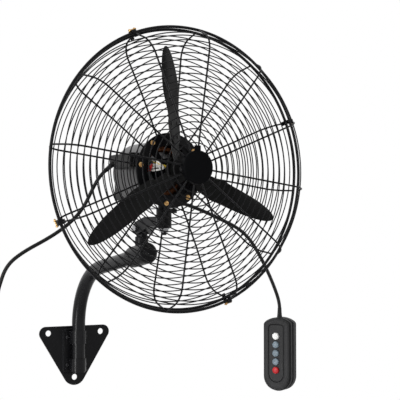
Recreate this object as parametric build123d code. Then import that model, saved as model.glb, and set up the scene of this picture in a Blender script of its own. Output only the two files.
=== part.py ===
from build123d import *
from math import atan2, cos, degrees, pi, radians, sin, sqrt, tan
import os

# A wall fan with a wire cage, on a bent tube arm, with a pendant control.
# Millimetres. X is to the right as seen from the room, Y goes into the wall, Z is up.
# The wall is the plane y = 0. The origin lies midway between the two upper screw holes.

# Fits, as gaps on the radius or between faces
RUNNING = 0.05
LOOSE = 0.3
MEETING = 0.03

# Where the fan head stands: its axis and the plane of the front rim wire
HEAD_REACH = 478
HEAD_HEIGHT = 333

# Guards
GUARD_R = 265
RIM_WIRE = 6
RIB_WIRE = 3.3
RING_WIRE = 2.2
WELD = 0.35
HOOP_SIDES = 24
RIBS = 12
RIB_PHASE = 22.5
FRONT_RIM_R = GUARD_R - RIM_WIRE / 2
REAR_RIM_R = FRONT_RIM_R - 4
REAR_RIM_AT = -9
FRONT_DEPTH = 50
REAR_DEPTH = 57
FRONT_RINGS = 18
REAR_RINGS = 16
RING_PITCH = 12.5
CAP_R = 30.3
CAP_FACE = FRONT_DEPTH + 10
PLATE_R = 70.5
PLATE_HOLE_R = 54
GUARD_PLATE_THICK = 2
GUARD_SCREW_R = 62.7
GUARD_SCREWS = 8
GUARD_SCREW_PHASE = 37
CLAMPS = 4

# Small fasteners
FASTENER_SIDES = 12

# Motor
SHELL_R = 58
SHELL_WALL = 3
SHELL_FRONT = -60
SHELL_BACK = -160
BELL_FACE = SHELL_FRONT + 12
BELL_THICK = 3
BELL_BACK = SHELL_BACK - 15
BOSS_R = 20
BEARING_R = 16
BEARING_WIDE = 10
FRONT_BEARING = SHELL_FRONT - 6
REAR_BEARING = SHELL_BACK - 10
SHAFT_R = 6
ROTOR_R = 31
CORE_FRONT = -85
CORE_BACK = -130

# Fan
BLADES = 3
BLADE_PHASE = 97
TIP_R = 228.6
BLADE_PLANE = -13
BLADE_THICK = 1.8
ROOT_PITCH = 18
ARM_THICK = 3
ARM_END_R = 97
HUB_R = 17

# Neck and tilt joint, as x, distance behind the rim plane, height above the fan axis
NECK_BACK = 70
POST_R = 9
PIVOT_BACK = 160
PIVOT_UP = -107
PIVOT_ROUND = 13
TONGUE_THICK = 12
CHEEK_THICK = 6
BOLT_R = 4

# Arm and wall plate
TUBE_R = 14.5
TUBE_WALL = 2
ARM_OUT = 22.5
ARM_FOOT = -85
ARM_BEND = 130
ELBOW_DROP = 52
ARM_RISE = 8.8
PLATE_THICK = 3
PAD_RISE = 5
HOLE_SPREAD = 62.25
HOLE_R = 6.5
LOWER_HOLE = -97.5

# Cords and pendant
CORD_D = 7
CORD_SIDES = 8
COIL_SIDES = 6
PENDANT_WIDE = 60
PENDANT_DEEP = 36
PENDANT_TALL = 148
PENDANT_WALL = 3
BUTTONS = 5
BUTTON_R = 6.2
BUTTON_PITCH = 17.2

# HEAD has its own Z along the fan axis, forwards, and Y up. NECK keeps the directions of the room.
HEAD = Plane(origin=(0, -HEAD_REACH, HEAD_HEIGHT), x_dir=(1, 0, 0), z_dir=(0, -1, 0)).location
NECK = Location((0, -HEAD_REACH, HEAD_HEIGHT))
WALL = Plane(origin=(0, 0, 0), x_dir=(1, 0, 0), z_dir=(0, -1, 0)).location

parts = {}


def disc(radius, low, high):
    """A cylinder about Z between two heights."""
    return Pos(0, 0, (low + high) / 2) * Cylinder(radius, high - low)


def ring(outer, inner, low, high):
    """A washer shape about Z between two heights."""
    return disc(outer, low, high) - disc(inner, low, high)


def block(x, y, z):
    """A box given by its three pairs of limits."""
    middle = Pos((x[0] + x[1]) / 2, (y[0] + y[1]) / 2, (z[0] + z[1]) / 2)
    return middle * Box(x[1] - x[0], y[1] - y[0], z[1] - z[0])


def around(count, phase):
    """Turns about Z for a pattern of equal steps."""
    return [Rot(0, 0, phase + 360 / count * step) for step in range(count)]


def joined(shapes):
    """All the shapes fused into one."""
    shapes = list(shapes)
    return shapes[0].fuse(*shapes[1:]).clean()


def together(place, shapes):
    """Several separate solids of one kind, each put in its place."""
    return Compound([solid for shape in shapes for solid in (place * shape).solids()])


def hull(*outlines):
    """The tight outline round several flat shapes, facing up."""
    face = make_hull([edge for outline in outlines for edge in outline.edges()]).face()
    return face if face.normal_at().Z > 0 else -face


def stud(radius, low, high):
    """A small shank or head about Z, with flat sides."""
    return Pos(0, 0, low) * extrude(RegularPolygon(radius, FASTENER_SIDES), amount=high - low)


def pan_screw(head_r, head_tall, shank_r, length):
    """A screw whose head stands on z = 0 and whose shank goes down."""
    return stud(head_r, 0, head_tall) + stud(shank_r, -length, 0)


# ---------------------------------------------------------------- wall plate and arm


def pressing(outline, rise):
    """A raised field pressed into the wall plate: what it adds, and the hollow behind it."""
    raised = extrude(outline, amount=PLATE_THICK + rise, taper=24)
    return raised, Pos(0, 0, -PLATE_THICK) * raised


STRAP_TALL = 28
STRAP_THICK = 2.2
STRAP_WIDE = 50
STRAPS_AT = (-9, -69)
STRAP_SCREW_X = 21
STRAP_SCREW_R = 2.5
PAD_FACE = PLATE_THICK + PAD_RISE


def strap_screw_places():
    """The four screw places on the pad, across and up."""
    return [(side * STRAP_SCREW_X, up) for up in STRAPS_AT for side in (-1, 1)]


def make_wall_plate():
    ears = [Pos(side * 68, -0.5) * Circle(15) for side in (-1, 1)]
    plate = extrude(hull(*ears, Pos(0, -89) * Circle(26)), amount=PLATE_THICK)
    pad = Pos(0, -39) * RectangleRounded(62, 101, 9)
    fields = [pressing(pad, PAD_RISE)]
    for side in (-1, 1):
        near = Pos(side * 26, -8) * Circle(8)
        far = Pos(side * 44, -3) * Circle(3.2)
        fields.append(pressing(hull(near, far), 3))
    for raised, _ in fields:
        plate += raised
    for _, hollow in fields:
        plate -= hollow
    for x, up in ((-HOLE_SPREAD, 0), (HOLE_SPREAD, 0), (0, LOWER_HOLE)):
        plate -= Pos(x, up) * disc(HOLE_R, -1, PAD_FACE)
    for x, up in strap_screw_places():
        plate -= Pos(x, up) * disc(STRAP_SCREW_R + RUNNING, -1, PAD_FACE + 1)
    return WALL * plate


def make_straps():
    """Omega straps, drawn in plan and extruded upwards, one for each height."""
    inner = TUBE_R + RUNNING
    outer = inner + STRAP_THICK
    centre = Pos(0, -ARM_OUT)
    neck = ARM_OUT - PAD_FACE
    outside = centre * Circle(outer) + Pos(0, -ARM_OUT + neck / 2) * Rectangle(2 * outer, neck)
    inside = centre * Circle(inner) + Pos(0, -ARM_OUT + neck / 2) * Rectangle(2 * inner, neck)
    ears = Pos(0, -PAD_FACE - STRAP_THICK / 2) * Rectangle(STRAP_WIDE, STRAP_THICK)
    behind = Pos(0, ARM_OUT - PAD_FACE) * Rectangle(STRAP_WIDE, 2 * ARM_OUT)
    strap = extrude(outside + ears - inside - behind, amount=STRAP_TALL / 2, both=True)
    across = Rot(90, 0, 0)
    for side in (-1, 1):
        strap -= Pos(side * STRAP_SCREW_X, -PAD_FACE) * across * disc(STRAP_SCREW_R + RUNNING, -3, 3)
    return together(Pos(0, 0, 0), [Pos(0, 0, up) * strap for up in STRAPS_AT])


def make_strap_screws():
    screw = pan_screw(4, 3.5, STRAP_SCREW_R, STRAP_THICK + PLATE_THICK + 2)
    seat = PAD_FACE + STRAP_THICK
    return together(WALL, [Pos(x, up, seat) * screw for x, up in strap_screw_places()])


SIN_RISE = sin(radians(ARM_RISE))
COS_RISE = cos(radians(ARM_RISE))
PIVOT_Y = PIVOT_BACK - HEAD_REACH
PIVOT_Z = PIVOT_UP + HEAD_HEIGHT
ELBOW_Z = PIVOT_Z - ELBOW_DROP
ARM_CORNER = ELBOW_Z - (-ARM_OUT - PIVOT_Y) * tan(radians(ARM_RISE))
ELBOW = Plane(
    origin=(0, PIVOT_Y, ELBOW_Z), x_dir=(1, 0, 0), z_dir=(0, -COS_RISE, SIN_RISE)
).location
TUBE_NOSE = 20
SOCKET_R = TUBE_R + 6.5
SOCKET_BACK = -34
SOCKET_NOSE = TUBE_NOSE + 11
SOCKET_ROUND = 8
TONGUE_TALL = PIVOT_ROUND + 4
SET_SCREW_AT = -20
SET_SCREW_R = 4


def make_tube():
    foot = (0, -ARM_OUT, ARM_FOOT)
    corner = (0, -ARM_OUT, ARM_CORNER)
    nose = (0, PIVOT_Y - TUBE_NOSE * COS_RISE, ELBOW_Z + TUBE_NOSE * SIN_RISE)
    path = FilletPolyline(foot, corner, nose, radius=ARM_BEND)
    section = Plane(origin=foot, z_dir=(0, 0, 1)) * (Circle(TUBE_R) - Circle(TUBE_R - TUBE_WALL))
    return sweep(section, path=path)


def make_elbow():
    """Socket on the tube's end, a riser, and the tongue of the tilt joint."""
    socket = disc(SOCKET_R, SOCKET_BACK, SOCKET_NOSE)
    socket = fillet(socket.edges().sort_by(Axis.Z)[-1], SOCKET_ROUND)
    riser = Pos(0, PIVOT_Y) * disc(PIVOT_ROUND, ELBOW_Z, PIVOT_Z - TONGUE_TALL)
    eye = Pos(PIVOT_Y, PIVOT_Z) * Circle(PIVOT_ROUND)
    web = Pos(PIVOT_Y, PIVOT_Z - PIVOT_ROUND) * Rectangle(2 * PIVOT_ROUND, 2 * PIVOT_ROUND)
    tongue = extrude(Plane.YZ * (eye + web), amount=TONGUE_THICK / 2, both=True)
    tongue &= Pos(0, PIVOT_Y) * disc(PIVOT_ROUND, ELBOW_Z, PIVOT_Z + 2 * PIVOT_ROUND)
    casting = ELBOW * socket + riser + tongue
    casting -= ELBOW * disc(TUBE_R + RUNNING, SOCKET_BACK - 1, TUBE_NOSE + 0.5)
    bolt_hole = disc(BOLT_R + RUNNING, -TONGUE_THICK, TONGUE_THICK)
    casting -= Pos(0, PIVOT_Y, PIVOT_Z) * Rot(0, 90, 0) * bolt_hole
    tapped = disc(SET_SCREW_R, TUBE_R - 4, SOCKET_R + 9)
    casting -= ELBOW * Pos(0, 0, SET_SCREW_AT) * Rot(0, -90, 0) * tapped
    return casting


def make_set_screw(radius, low, high, socket):
    """A headless screw about Z with a hexagonal key socket in its top."""
    key = extrude(RegularPolygon(socket, 6), amount=radius)
    return disc(radius, low, high) - Pos(0, 0, high - radius * 0.8) * key


def make_elbow_screw():
    screw = make_set_screw(SET_SCREW_R, TUBE_R, SOCKET_R + 1.5, 2)
    return ELBOW * Pos(0, 0, SET_SCREW_AT) * Rot(0, -90, 0) * screw


# ---------------------------------------------------------------- tilt joint and neck

HALF_TONGUE = TONGUE_THICK / 2
CHEEK_IN = HALF_TONGUE + LOOSE
CHEEK_OUT = CHEEK_IN + CHEEK_THICK
BRACKET_TOP = -86
BRACKET_LOW = -104
COLLAR_TOP = -61.5
WASHER_TOP = COLLAR_TOP - 0.5
WASHER_THICK = 2
SPIGOT_TOP = WASHER_TOP - WASHER_THICK
SPIGOT_TALL = 7.5
SOCKET_TOP = SPIGOT_TOP - SPIGOT_TALL
SOCKET_LOW = -108
NECK_SOCKET_R = 14.5
NECK_SPIGOT_R = 11
STUD_X = 22
STUD_R = 3
STUD_TOP = SOCKET_TOP + 5.3
LUG_THICK = 8
CHEEK_SLOT = PIVOT_ROUND + 6


def make_tilt_bracket():
    """Two cheeks about the tongue, an arm, and the upright socket of the neck."""
    eye = Pos(PIVOT_BACK, PIVOT_UP) * Circle(PIVOT_ROUND)
    arm_tall = BRACKET_TOP - BRACKET_LOW
    arm_middle = (BRACKET_TOP + BRACKET_LOW) / 2
    arm = Pos(118, arm_middle) * Rectangle(20, arm_tall)
    reach = Pos((NECK_BACK + 118) / 2, arm_middle) * Rectangle(118 - NECK_BACK, arm_tall)
    side = hull(eye, arm) + reach
    body = extrude(Plane.YZ * side, amount=CHEEK_OUT, both=True)
    body += Pos(0, NECK_BACK) * disc(NECK_SOCKET_R, SOCKET_LOW, SOCKET_TOP)
    body += Pos(0, NECK_BACK) * disc(NECK_SPIGOT_R, SOCKET_TOP, SPIGOT_TOP)
    lug_root = Circle(NECK_SOCKET_R - 2)
    lug_end = Pos(STUD_X, 0) * Circle(STUD_R + 2.5)
    lug = extrude(hull(lug_root, lug_end), amount=-LUG_THICK)
    body += Pos(0, NECK_BACK, SOCKET_TOP) * lug
    body += Pos(STUD_X, NECK_BACK) * disc(STUD_R, SOCKET_TOP, STUD_TOP)
    low, high = PIVOT_UP - 2 * PIVOT_ROUND, PIVOT_UP + 2 * PIVOT_ROUND
    reach = (PIVOT_BACK - CHEEK_SLOT, PIVOT_BACK + CHEEK_SLOT)
    body -= block((-CHEEK_IN, CHEEK_IN), reach, (low, high))
    bolt_hole = disc(BOLT_R + RUNNING, -CHEEK_OUT - 1, CHEEK_OUT + 1)
    body -= Pos(0, PIVOT_BACK, PIVOT_UP) * Rot(0, 90, 0) * bolt_hole
    body -= Pos(0, NECK_BACK) * disc(POST_R + RUNNING, SOCKET_LOW - 1, SPIGOT_TOP + 1)
    return NECK * body


def make_tilt_bolt():
    head = extrude(RegularPolygon(7.5, 6), amount=5.5)
    bolt = disc(BOLT_R, -2 * CHEEK_OUT - 15, 0) + head
    return NECK * Pos(-CHEEK_OUT, PIVOT_BACK, PIVOT_UP) * Rot(0, -90, 0) * bolt


def make_wing_nut():
    barrel = Pos(0, 0, 4.5) * Cone(7.5, 5.5, 9)
    wing = Polyline((3, 1.5), (9, 4), (17, 13), (15, 17), (10, 16), (3, 8), close=True)
    wing = extrude(Plane.XZ * make_face(wing), amount=1.5, both=True)
    nut = barrel + wing + Rot(0, 0, 180) * wing - disc(BOLT_R, -1, 12)
    return NECK * Pos(CHEEK_OUT, PIVOT_BACK, PIVOT_UP) * Rot(0, 90, 0) * Rot(0, 0, 35) * nut


def make_washer():
    washer = ring(NECK_SOCKET_R - 0.5, POST_R + RUNNING, SPIGOT_TOP, WASHER_TOP)
    return NECK * Pos(0, NECK_BACK) * washer


SHOULDER = SOCKET_LOW - LOOSE
THREAD_R = 5


def make_post():
    """Saddle under the motor, collar, swivel post and its threaded end."""
    saddle = block((-20, 20), (NECK_BACK - 12, NECK_BACK + 17), (COLLAR_TOP, -40))
    saddle = fillet(saddle.edges().filter_by(Axis.Z), 4)
    saddle -= Pos(0, NECK_BACK) * Rot(90, 0, 0) * disc(SHELL_R, -40, 40)
    post = disc(POST_R + 1.4, WASHER_TOP, COLLAR_TOP) + disc(POST_R, SHOULDER, WASHER_TOP)
    post += disc(THREAD_R, SHOULDER - 13, SHOULDER)
    return NECK * (saddle + Pos(0, NECK_BACK) * post)


def make_post_nut():
    nut = extrude(RegularPolygon(9.8, 6), amount=-8) + disc(11, -2, 0) - disc(THREAD_R, -9, 1)
    return NECK * Pos(0, NECK_BACK, SHOULDER) * nut


# ---------------------------------------------------------------- motor


def make_shell():
    shell = ring(SHELL_R, SHELL_R - SHELL_WALL, SHELL_BACK, SHELL_FRONT)
    return HEAD * shell


FLANGE_R = PLATE_R - 4
WINDOW_OUTER_R = 47
WINDOW_INNER_R = 24
SPOKE_WIDE = 12
SPIGOT_R = SHELL_R - 8
SPIGOT_LONG = 5
BOSS_LONG = 22
BOSS_PROUD = 2
GUARD_SCREW_SHANK = 2
GUARD_SCREW_HOLE = (BELL_FACE - 10, BELL_FACE + 10)
REAR_DOME = 7
REAR_BOSS_FRONT = SHELL_BACK + 2


def bell_windows(count, phase):
    """The openings of a bell: a flat ring cut into equal windows by its spokes."""
    field = Circle(WINDOW_OUTER_R) - Circle(WINDOW_INNER_R)
    middle = (WINDOW_OUTER_R + WINDOW_INNER_R) / 2
    for turn in around(count, phase):
        field -= turn * Pos(middle, 0) * Rectangle(WINDOW_OUTER_R, SPOKE_WIDE)
    return field


def make_front_bell():
    """Flange for the guard plate, four spokes, and the boss of the front bearing."""
    back = BELL_FACE - BELL_THICK
    bell = disc(FLANGE_R, back, BELL_FACE)
    bell -= Pos(0, 0, back) * extrude(bell_windows(4, 45), amount=BELL_THICK)
    bell += ring(SHELL_R, SPIGOT_R, SHELL_FRONT, back)
    bell += ring(SHELL_R - SHELL_WALL - RUNNING, SPIGOT_R, SHELL_FRONT - SPIGOT_LONG, SHELL_FRONT)
    front = BELL_FACE + BOSS_PROUD
    bell += disc(BOSS_R, front - BOSS_LONG, front)
    bell -= disc(BEARING_R + RUNNING, front - BOSS_LONG - 2, FRONT_BEARING + BEARING_WIDE)
    bell -= disc(SHAFT_R + 1, SHELL_FRONT, front + 6)
    for turn in around(GUARD_SCREWS, GUARD_SCREW_PHASE):
        bell -= turn * Pos(GUARD_SCREW_R, 0) * disc(GUARD_SCREW_SHANK + RUNNING, *GUARD_SCREW_HOLE)
    return HEAD * bell


def make_rear_bell():
    """Domed back of the motor with its vents and a blind boss for the rear bearing."""
    bell = disc(SHELL_R, BELL_BACK, SHELL_BACK)
    bell = fillet(bell.edges().sort_by(Axis.Z)[0], REAR_DOME)
    hollow = disc(SHELL_R - SHELL_WALL, BELL_BACK + BELL_THICK, SHELL_BACK)
    bell -= chamfer(hollow.edges().sort_by(Axis.Z)[0], REAR_DOME - BELL_THICK)
    bell += disc(BOSS_R, BELL_BACK + 1, REAR_BOSS_FRONT)
    bell -= disc(BEARING_R + RUNNING, REAR_BEARING, SHELL_BACK + 10)
    bell -= disc(SHAFT_R + 4, REAR_BEARING - 2, SHELL_BACK + 10)
    vent = block((-5, 5), (-2, 2), (-2, BELL_THICK + 2))
    for turn in around(10, 0):
        bell -= turn * Pos(SHELL_R - 15, 0, BELL_BACK) * vent
    return HEAD * bell


def make_bearings():
    """Two ball bearings, each as one ring with the shallow recess of its front shield."""
    race = ring(BEARING_R, SHAFT_R, 0, BEARING_WIDE)
    race -= ring(BEARING_R - 2.5, SHAFT_R + 2.5, BEARING_WIDE - 0.6, BEARING_WIDE + 1)
    return together(HEAD, [Pos(0, 0, low) * race for low in (FRONT_BEARING, REAR_BEARING)])


SLOTS = 12
SLOT_WIDE = 6
SLOT_INNER_R = ROTOR_R + 6
SLOT_OUTER_R = SLOT_INNER_R + 11
END_TURN = 15


def make_stator():
    """Laminated ring with the slots of the winding along its bore."""
    core = ring(SHELL_R - SHELL_WALL - RUNNING, ROTOR_R + LOOSE, CORE_BACK, CORE_FRONT)
    half_slot = SLOT_WIDE / 2
    slot = block((SLOT_INNER_R, SLOT_OUTER_R), (-half_slot, half_slot), (CORE_BACK, CORE_FRONT))
    for turn in around(SLOTS, 0):
        core -= turn * slot
    return HEAD * core


def make_winding():
    """The two end turns, as rings, with the legs that run through the slots."""
    wire = ring(SLOT_OUTER_R + 2, SLOT_INNER_R - 1, CORE_FRONT, CORE_FRONT + END_TURN)
    wire = chamfer(wire.faces().sort_by(Axis.Z)[-1].edges(), 4)
    rear = mirror(wire, about=Plane.XY.offset((CORE_FRONT + CORE_BACK) / 2))
    half = SLOT_WIDE / 2 - 0.4
    leg = block((SLOT_INNER_R + 1, SLOT_OUTER_R - 1), (-half, half), (CORE_BACK, CORE_FRONT))
    legs = [turn * leg for turn in around(SLOTS, 0)]
    return HEAD * joined([wire, rear, *legs])


LEAD_R = 1.6
LEAD_LOOP_R = 9


def make_leads():
    """Loops of lead wire that stand on the winding behind the left and upper windows."""
    bend = CenterArc((0, 0, 0), LEAD_LOOP_R, 0, 180)
    loop = sweep(Plane(origin=bend @ 0, z_dir=bend % 0) * RegularPolygon(LEAD_R, 4), path=bend)
    loop = Rot(90, 0, 0) * loop
    turns = (160, 178, 196, 75, 93)
    seat = Pos(SLOT_OUTER_R - 5, 0, CORE_FRONT + END_TURN) * Rot(0, 0, 70)
    return together(HEAD, [Rot(0, 0, turn) * seat * loop for turn in turns])


BOX_LEFT = -76
EXIT_BACK = 140
EXIT_POINT = Vector(-72.5, EXIT_BACK, 15)
EXIT_WAY = Vector(-0.77, 0, -0.638).normalized()
MAINS_GLAND = 20


def make_terminal_box():
    """Box on the motor's left side; its rear lower corner is cut square to the cord."""
    box = block((BOX_LEFT, -46), (60, 145), (5, 32))
    box = fillet(box.edges().filter_by(Axis.Y).sort_by(Axis.X)[:2].sort_by(Axis.Z)[-1], 3)
    corner = Plane(origin=EXIT_POINT, x_dir=(0, 1, 0), z_dir=EXIT_WAY)
    box -= corner.location * block((-12, 12), (-20, 20), (0, 30))
    box -= Pos(0, 100) * Rot(90, 0, 0) * disc(SHELL_R, -60, 60)
    return NECK * box


def tapered(start, way, length, near, far):
    """A strain relief: a flange and a long taper, with two grooves about it."""
    relief = disc(near + 1.2, 0, 2.5) + Pos(0, 0, length / 2) * Cone(near, far, length)
    for at in (0.4, 0.65):
        relief -= ring(near + 1, far - 0.3, length * at, length * at + 1.5)
    return Plane(origin=start, z_dir=way).location * relief


def make_mains_gland():
    return NECK * tapered(EXIT_POINT, EXIT_WAY, MAINS_GLAND - MEETING, 5, 4.2)


# ---------------------------------------------------------------- swing drive

CRANK_BACK = 197
CRANK_R = 14.85
PIN_R = 3
LINK_THICK = 3
LINK_TOP = SOCKET_TOP + 1 + LINK_THICK
LINK_WIDE = 6
LINK_EYE_X = STUD_X + 1.13
LINK_EYE_R = 4.9
DRIVE_WALL = 2.5
DRIVE_LOW = -52
DRIVE_TOP = 20
DRIVE_HALF_WIDE = 32
DRIVE_FRONT = 175
DRIVE_BACK = DRIVE_FRONT + 43
CAN_LOW = DRIVE_LOW + DRIVE_WALL
CAN_R = 17
CRANK_SHAFT_R = 3.5


def make_drive_housing():
    half = DRIVE_HALF_WIDE
    body = block((-half, half), (DRIVE_FRONT, DRIVE_BACK), (DRIVE_LOW, DRIVE_TOP))
    body = fillet(body.edges().filter_by(Axis.X) + body.edges().filter_by(Axis.Z), 4)
    half -= DRIVE_WALL
    ceiling = DRIVE_TOP - DRIVE_WALL
    body -= block((-half, half), (DRIVE_FRONT - 5, DRIVE_BACK - DRIVE_WALL), (CAN_LOW, ceiling))
    body -= Pos(0, CRANK_BACK) * disc(CRANK_SHAFT_R + 0.5, DRIVE_LOW - 8, CAN_LOW + 4)
    return NECK * body


def make_drive_motor():
    can = disc(CAN_R, CAN_LOW, CAN_LOW + 20)
    can -= disc(CRANK_SHAFT_R + RUNNING, CAN_LOW - 1, CAN_LOW + 8)
    return NECK * Pos(0, CRANK_BACK) * can


def make_crank():
    """Output shaft, arm and pin of the swing drive."""
    root = Circle(9)
    end = Pos(CRANK_R, 0) * Circle(5.5)
    arm_low = LINK_TOP + LOOSE
    arm = extrude(hull(root, end), amount=4)
    crank = Pos(0, 0, arm_low) * arm + disc(CRANK_SHAFT_R, arm_low, CAN_LOW + 7.5)
    pin_low = LINK_TOP - LINK_THICK - LOOSE
    crank += Pos(CRANK_R, 0) * disc(PIN_R, pin_low, arm_low)
    crank += Pos(CRANK_R, 0) * disc(PIN_R + 1.5, pin_low - 2, pin_low)
    return NECK * Pos(0, CRANK_BACK) * crank


def make_link():
    """Link from the crank pin to the roomy eye round the stud of the tilt bracket."""
    eye_at = Pos(LINK_EYE_X, NECK_BACK)
    pin_at = Pos(CRANK_R, CRANK_BACK)
    reach = CRANK_BACK - NECK_BACK
    shift = CRANK_R - LINK_EYE_X
    bar = Pos((CRANK_R + LINK_EYE_X) / 2, (CRANK_BACK + NECK_BACK) / 2)
    bar *= Rot(0, 0, degrees(atan2(reach, shift)))
    outline = bar * Rectangle(sqrt(reach**2 + shift**2), LINK_WIDE)
    outline += eye_at * Circle(LINK_EYE_R + 2.2) + pin_at * Circle(PIN_R + 3)
    outline -= eye_at * Circle(LINK_EYE_R) + pin_at * Circle(PIN_R + RUNNING)
    return NECK * Pos(0, 0, LINK_TOP) * extrude(outline, amount=-LINK_THICK)


# ---------------------------------------------------------------- guards


def cage_line(points, radii):
    """The bent line of one rib in its own plane: distance from the axis, then height."""
    return FilletPolyline(*[(r, 0, z) for r, z in points], radius=radii)


def wire_ring(radius, height, wire, sides):
    """A hoop of square wire about the axis with straight facets between the ribs."""
    outer = RegularPolygon(radius + wire / 2, sides, major_radius=False)
    inner = RegularPolygon(radius - wire / 2, sides, major_radius=False)
    return Pos(0, 0, height - wire / 2) * extrude(outer - inner, amount=wire)


def cage(line, inwards, first, count, rim_r, rim_z):
    """Ribs along a bent line, hoops welded to their inner side, and the round rim wire."""
    start = line @ 1
    section = Plane(origin=start, x_dir=(0, 1, 0), z_dir=line % 1 * -1) * Rectangle(RIB_WIRE, RIB_WIRE)
    rib = sweep(section, path=line)
    pieces = [turn * rib for turn in around(RIBS, RIB_PHASE)]
    length = line.length
    for step in range(count):
        share = (length - first - step * RING_PITCH) / length
        at = line @ share
        way = line % share
        side = Vector(-way.Z, 0, way.X) * inwards
        weld = 0 if abs(way.Z) < 0.001 else WELD
        hoop = at + side * ((RIB_WIRE + RING_WIRE) / 2 - weld)
        turned = Rot(0, 0, RIB_PHASE + 180 / HOOP_SIDES)
        pieces.append(turned * wire_ring(hoop.X, hoop.Z, RING_WIRE, HOOP_SIDES))
    rim = Plane.XZ * Pos(rim_r, rim_z) * RegularPolygon(RIM_WIRE / 2, 8, rotation=22.5)
    pieces.append(revolve(rim, Axis.Z))
    return HEAD * joined(pieces)


FRONT_SHOULDER_R = FRONT_RIM_R - 21.4
FRONT_BEND = 38
FRONT_INNER_R = CAP_R - 8.3
FRONT_FIRST_RING = 23
REAR_SHOULDER_R = REAR_RIM_R - 15
REAR_BEND = 32
REAR_FLAT_R = 150
REAR_INNER_R = PLATE_R - RIB_WIRE
REAR_FIRST_RING = 9.8


def make_front_guard():
    """A shallow dish: slanted sides and a flat face whose ribs end under the cap."""
    corners = [(FRONT_RIM_R, 0), (FRONT_SHOULDER_R, FRONT_DEPTH), (FRONT_INNER_R, FRONT_DEPTH)]
    line = cage_line(corners, FRONT_BEND)
    return cage(line, 1, FRONT_FIRST_RING, FRONT_RINGS, FRONT_RIM_R, 0)


def make_rear_guard():
    """A deeper dish that comes forwards again to the ring on the motor's front."""
    seat = BELL_FACE - RIB_WIRE / 2
    corners = [(REAR_RIM_R, REAR_RIM_AT), (REAR_SHOULDER_R, -REAR_DEPTH)]
    corners += [(REAR_FLAT_R, seat), (REAR_INNER_R, seat)]
    line = cage_line(corners, [REAR_BEND, REAR_FLAT_R])
    return cage(line, -1, REAR_FIRST_RING, REAR_RINGS, REAR_RIM_R, REAR_RIM_AT)


def make_guard_plate():
    plate = ring(PLATE_R, PLATE_HOLE_R, BELL_FACE, BELL_FACE + GUARD_PLATE_THICK)
    for turn in around(GUARD_SCREWS, GUARD_SCREW_PHASE):
        plate -= turn * Pos(GUARD_SCREW_R, 0) * disc(GUARD_SCREW_SHANK + RUNNING, *GUARD_SCREW_HOLE)
    return HEAD * plate


def make_guard_screws():
    reach = GUARD_PLATE_THICK + BELL_THICK + 2
    screw = pan_screw(4.7, 3, GUARD_SCREW_SHANK, reach)
    seat = Pos(GUARD_SCREW_R, 0, BELL_FACE + GUARD_PLATE_THICK)
    turns = around(GUARD_SCREWS, GUARD_SCREW_PHASE)
    return together(HEAD, [turn * seat * screw for turn in turns])


CAP_SKIRT = FRONT_DEPTH - 1.5
CAP_WALL = 2.2
CAP_TOP_WALL = 2.5
CAP_TAB = 9
RIB_TOP = FRONT_DEPTH + RIB_WIRE / 2
RIB_UNDER = FRONT_DEPTH - RIB_WIRE / 2
BACK_PLATE_THICK = 1.6
CAP_SCREW_R = 2
CAP_POST_R = 6


def make_cap():
    """Round cap whose skirt has a slot for each rib, with a lifting tab at the top."""
    cap = disc(CAP_R, CAP_SKIRT, CAP_FACE)
    cap = chamfer(cap.edges().sort_by(Axis.Z)[-1], 1.8)
    inner_r = CAP_R - CAP_WALL
    ceiling = CAP_FACE - CAP_TOP_WALL
    cap -= disc(inner_r, CAP_SKIRT - 1, RIB_TOP)
    cap -= ring(inner_r, CAP_POST_R, RIB_TOP - 1, ceiling)
    half_slot = RIB_WIRE / 2 + 0.25
    slot = block((inner_r - 2, CAP_R + 4), (-half_slot, half_slot), (CAP_SKIRT - 1, RIB_TOP + 0.2))
    for turn in around(RIBS, RIB_PHASE):
        cap -= turn * slot
    cap += ring(19, 16.5, RIB_TOP, ceiling + 0.5)
    cap += disc(CAP_POST_R, RIB_UNDER, ceiling + 0.5)
    cap += block((-6, 6), (CAP_R - 1, CAP_R + CAP_TAB), (CAP_FACE - 6, CAP_FACE - 3.5))
    cap -= disc(CAP_SCREW_R, RIB_UNDER - 1, ceiling - 0.5)
    return HEAD * cap


def make_cap_back():
    low = RIB_UNDER - BACK_PLATE_THICK
    return HEAD * ring(CAP_R - 3.3, CAP_SCREW_R + RUNNING, low, RIB_UNDER)


def make_cap_screw():
    screw = pan_screw(4.5, 2.6, CAP_SCREW_R, 8)
    return HEAD * Pos(0, 0, RIB_UNDER - BACK_PLATE_THICK) * Rot(180, 0, 0) * screw


CLAMP_WIDE = 16
CLAMP_FRONT = RIM_WIRE / 2
CLAMP_REAR = REAR_RIM_AT - RIM_WIRE / 2
LIP = 2
CLAMP_INNER_R = REAR_RIM_R - 14
CLAMP_SCREW_R = REAR_RIM_R - 9.5
CLAMP_SCREW_SHANK = 2


def make_clamps():
    """Channels that hold the two rim wires together, notched for the ribs they sit on."""
    half = CLAMP_WIDE / 2
    outside = block(
        (CLAMP_INNER_R, GUARD_R + LIP), (-half, half), (CLAMP_REAR - LIP, CLAMP_FRONT + LIP)
    )
    inside = block((CLAMP_INNER_R - 1, GUARD_R + 0.2), (-half, half), (CLAMP_REAR, CLAMP_FRONT))
    half_notch = RIB_WIRE / 2 + 0.45
    notch = block(
        (REAR_RIM_R - 3.5, GUARD_R + 0.2), (-half_notch, half_notch), (CLAMP_REAR - 5, CLAMP_FRONT + 5)
    )
    hole = Pos(CLAMP_SCREW_R, 0) * disc(CLAMP_SCREW_SHANK + RUNNING, -30, 30)
    clamp = outside - inside - notch - hole
    return together(HEAD, [turn * clamp for turn in around(CLAMPS, RIB_PHASE)])


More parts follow.
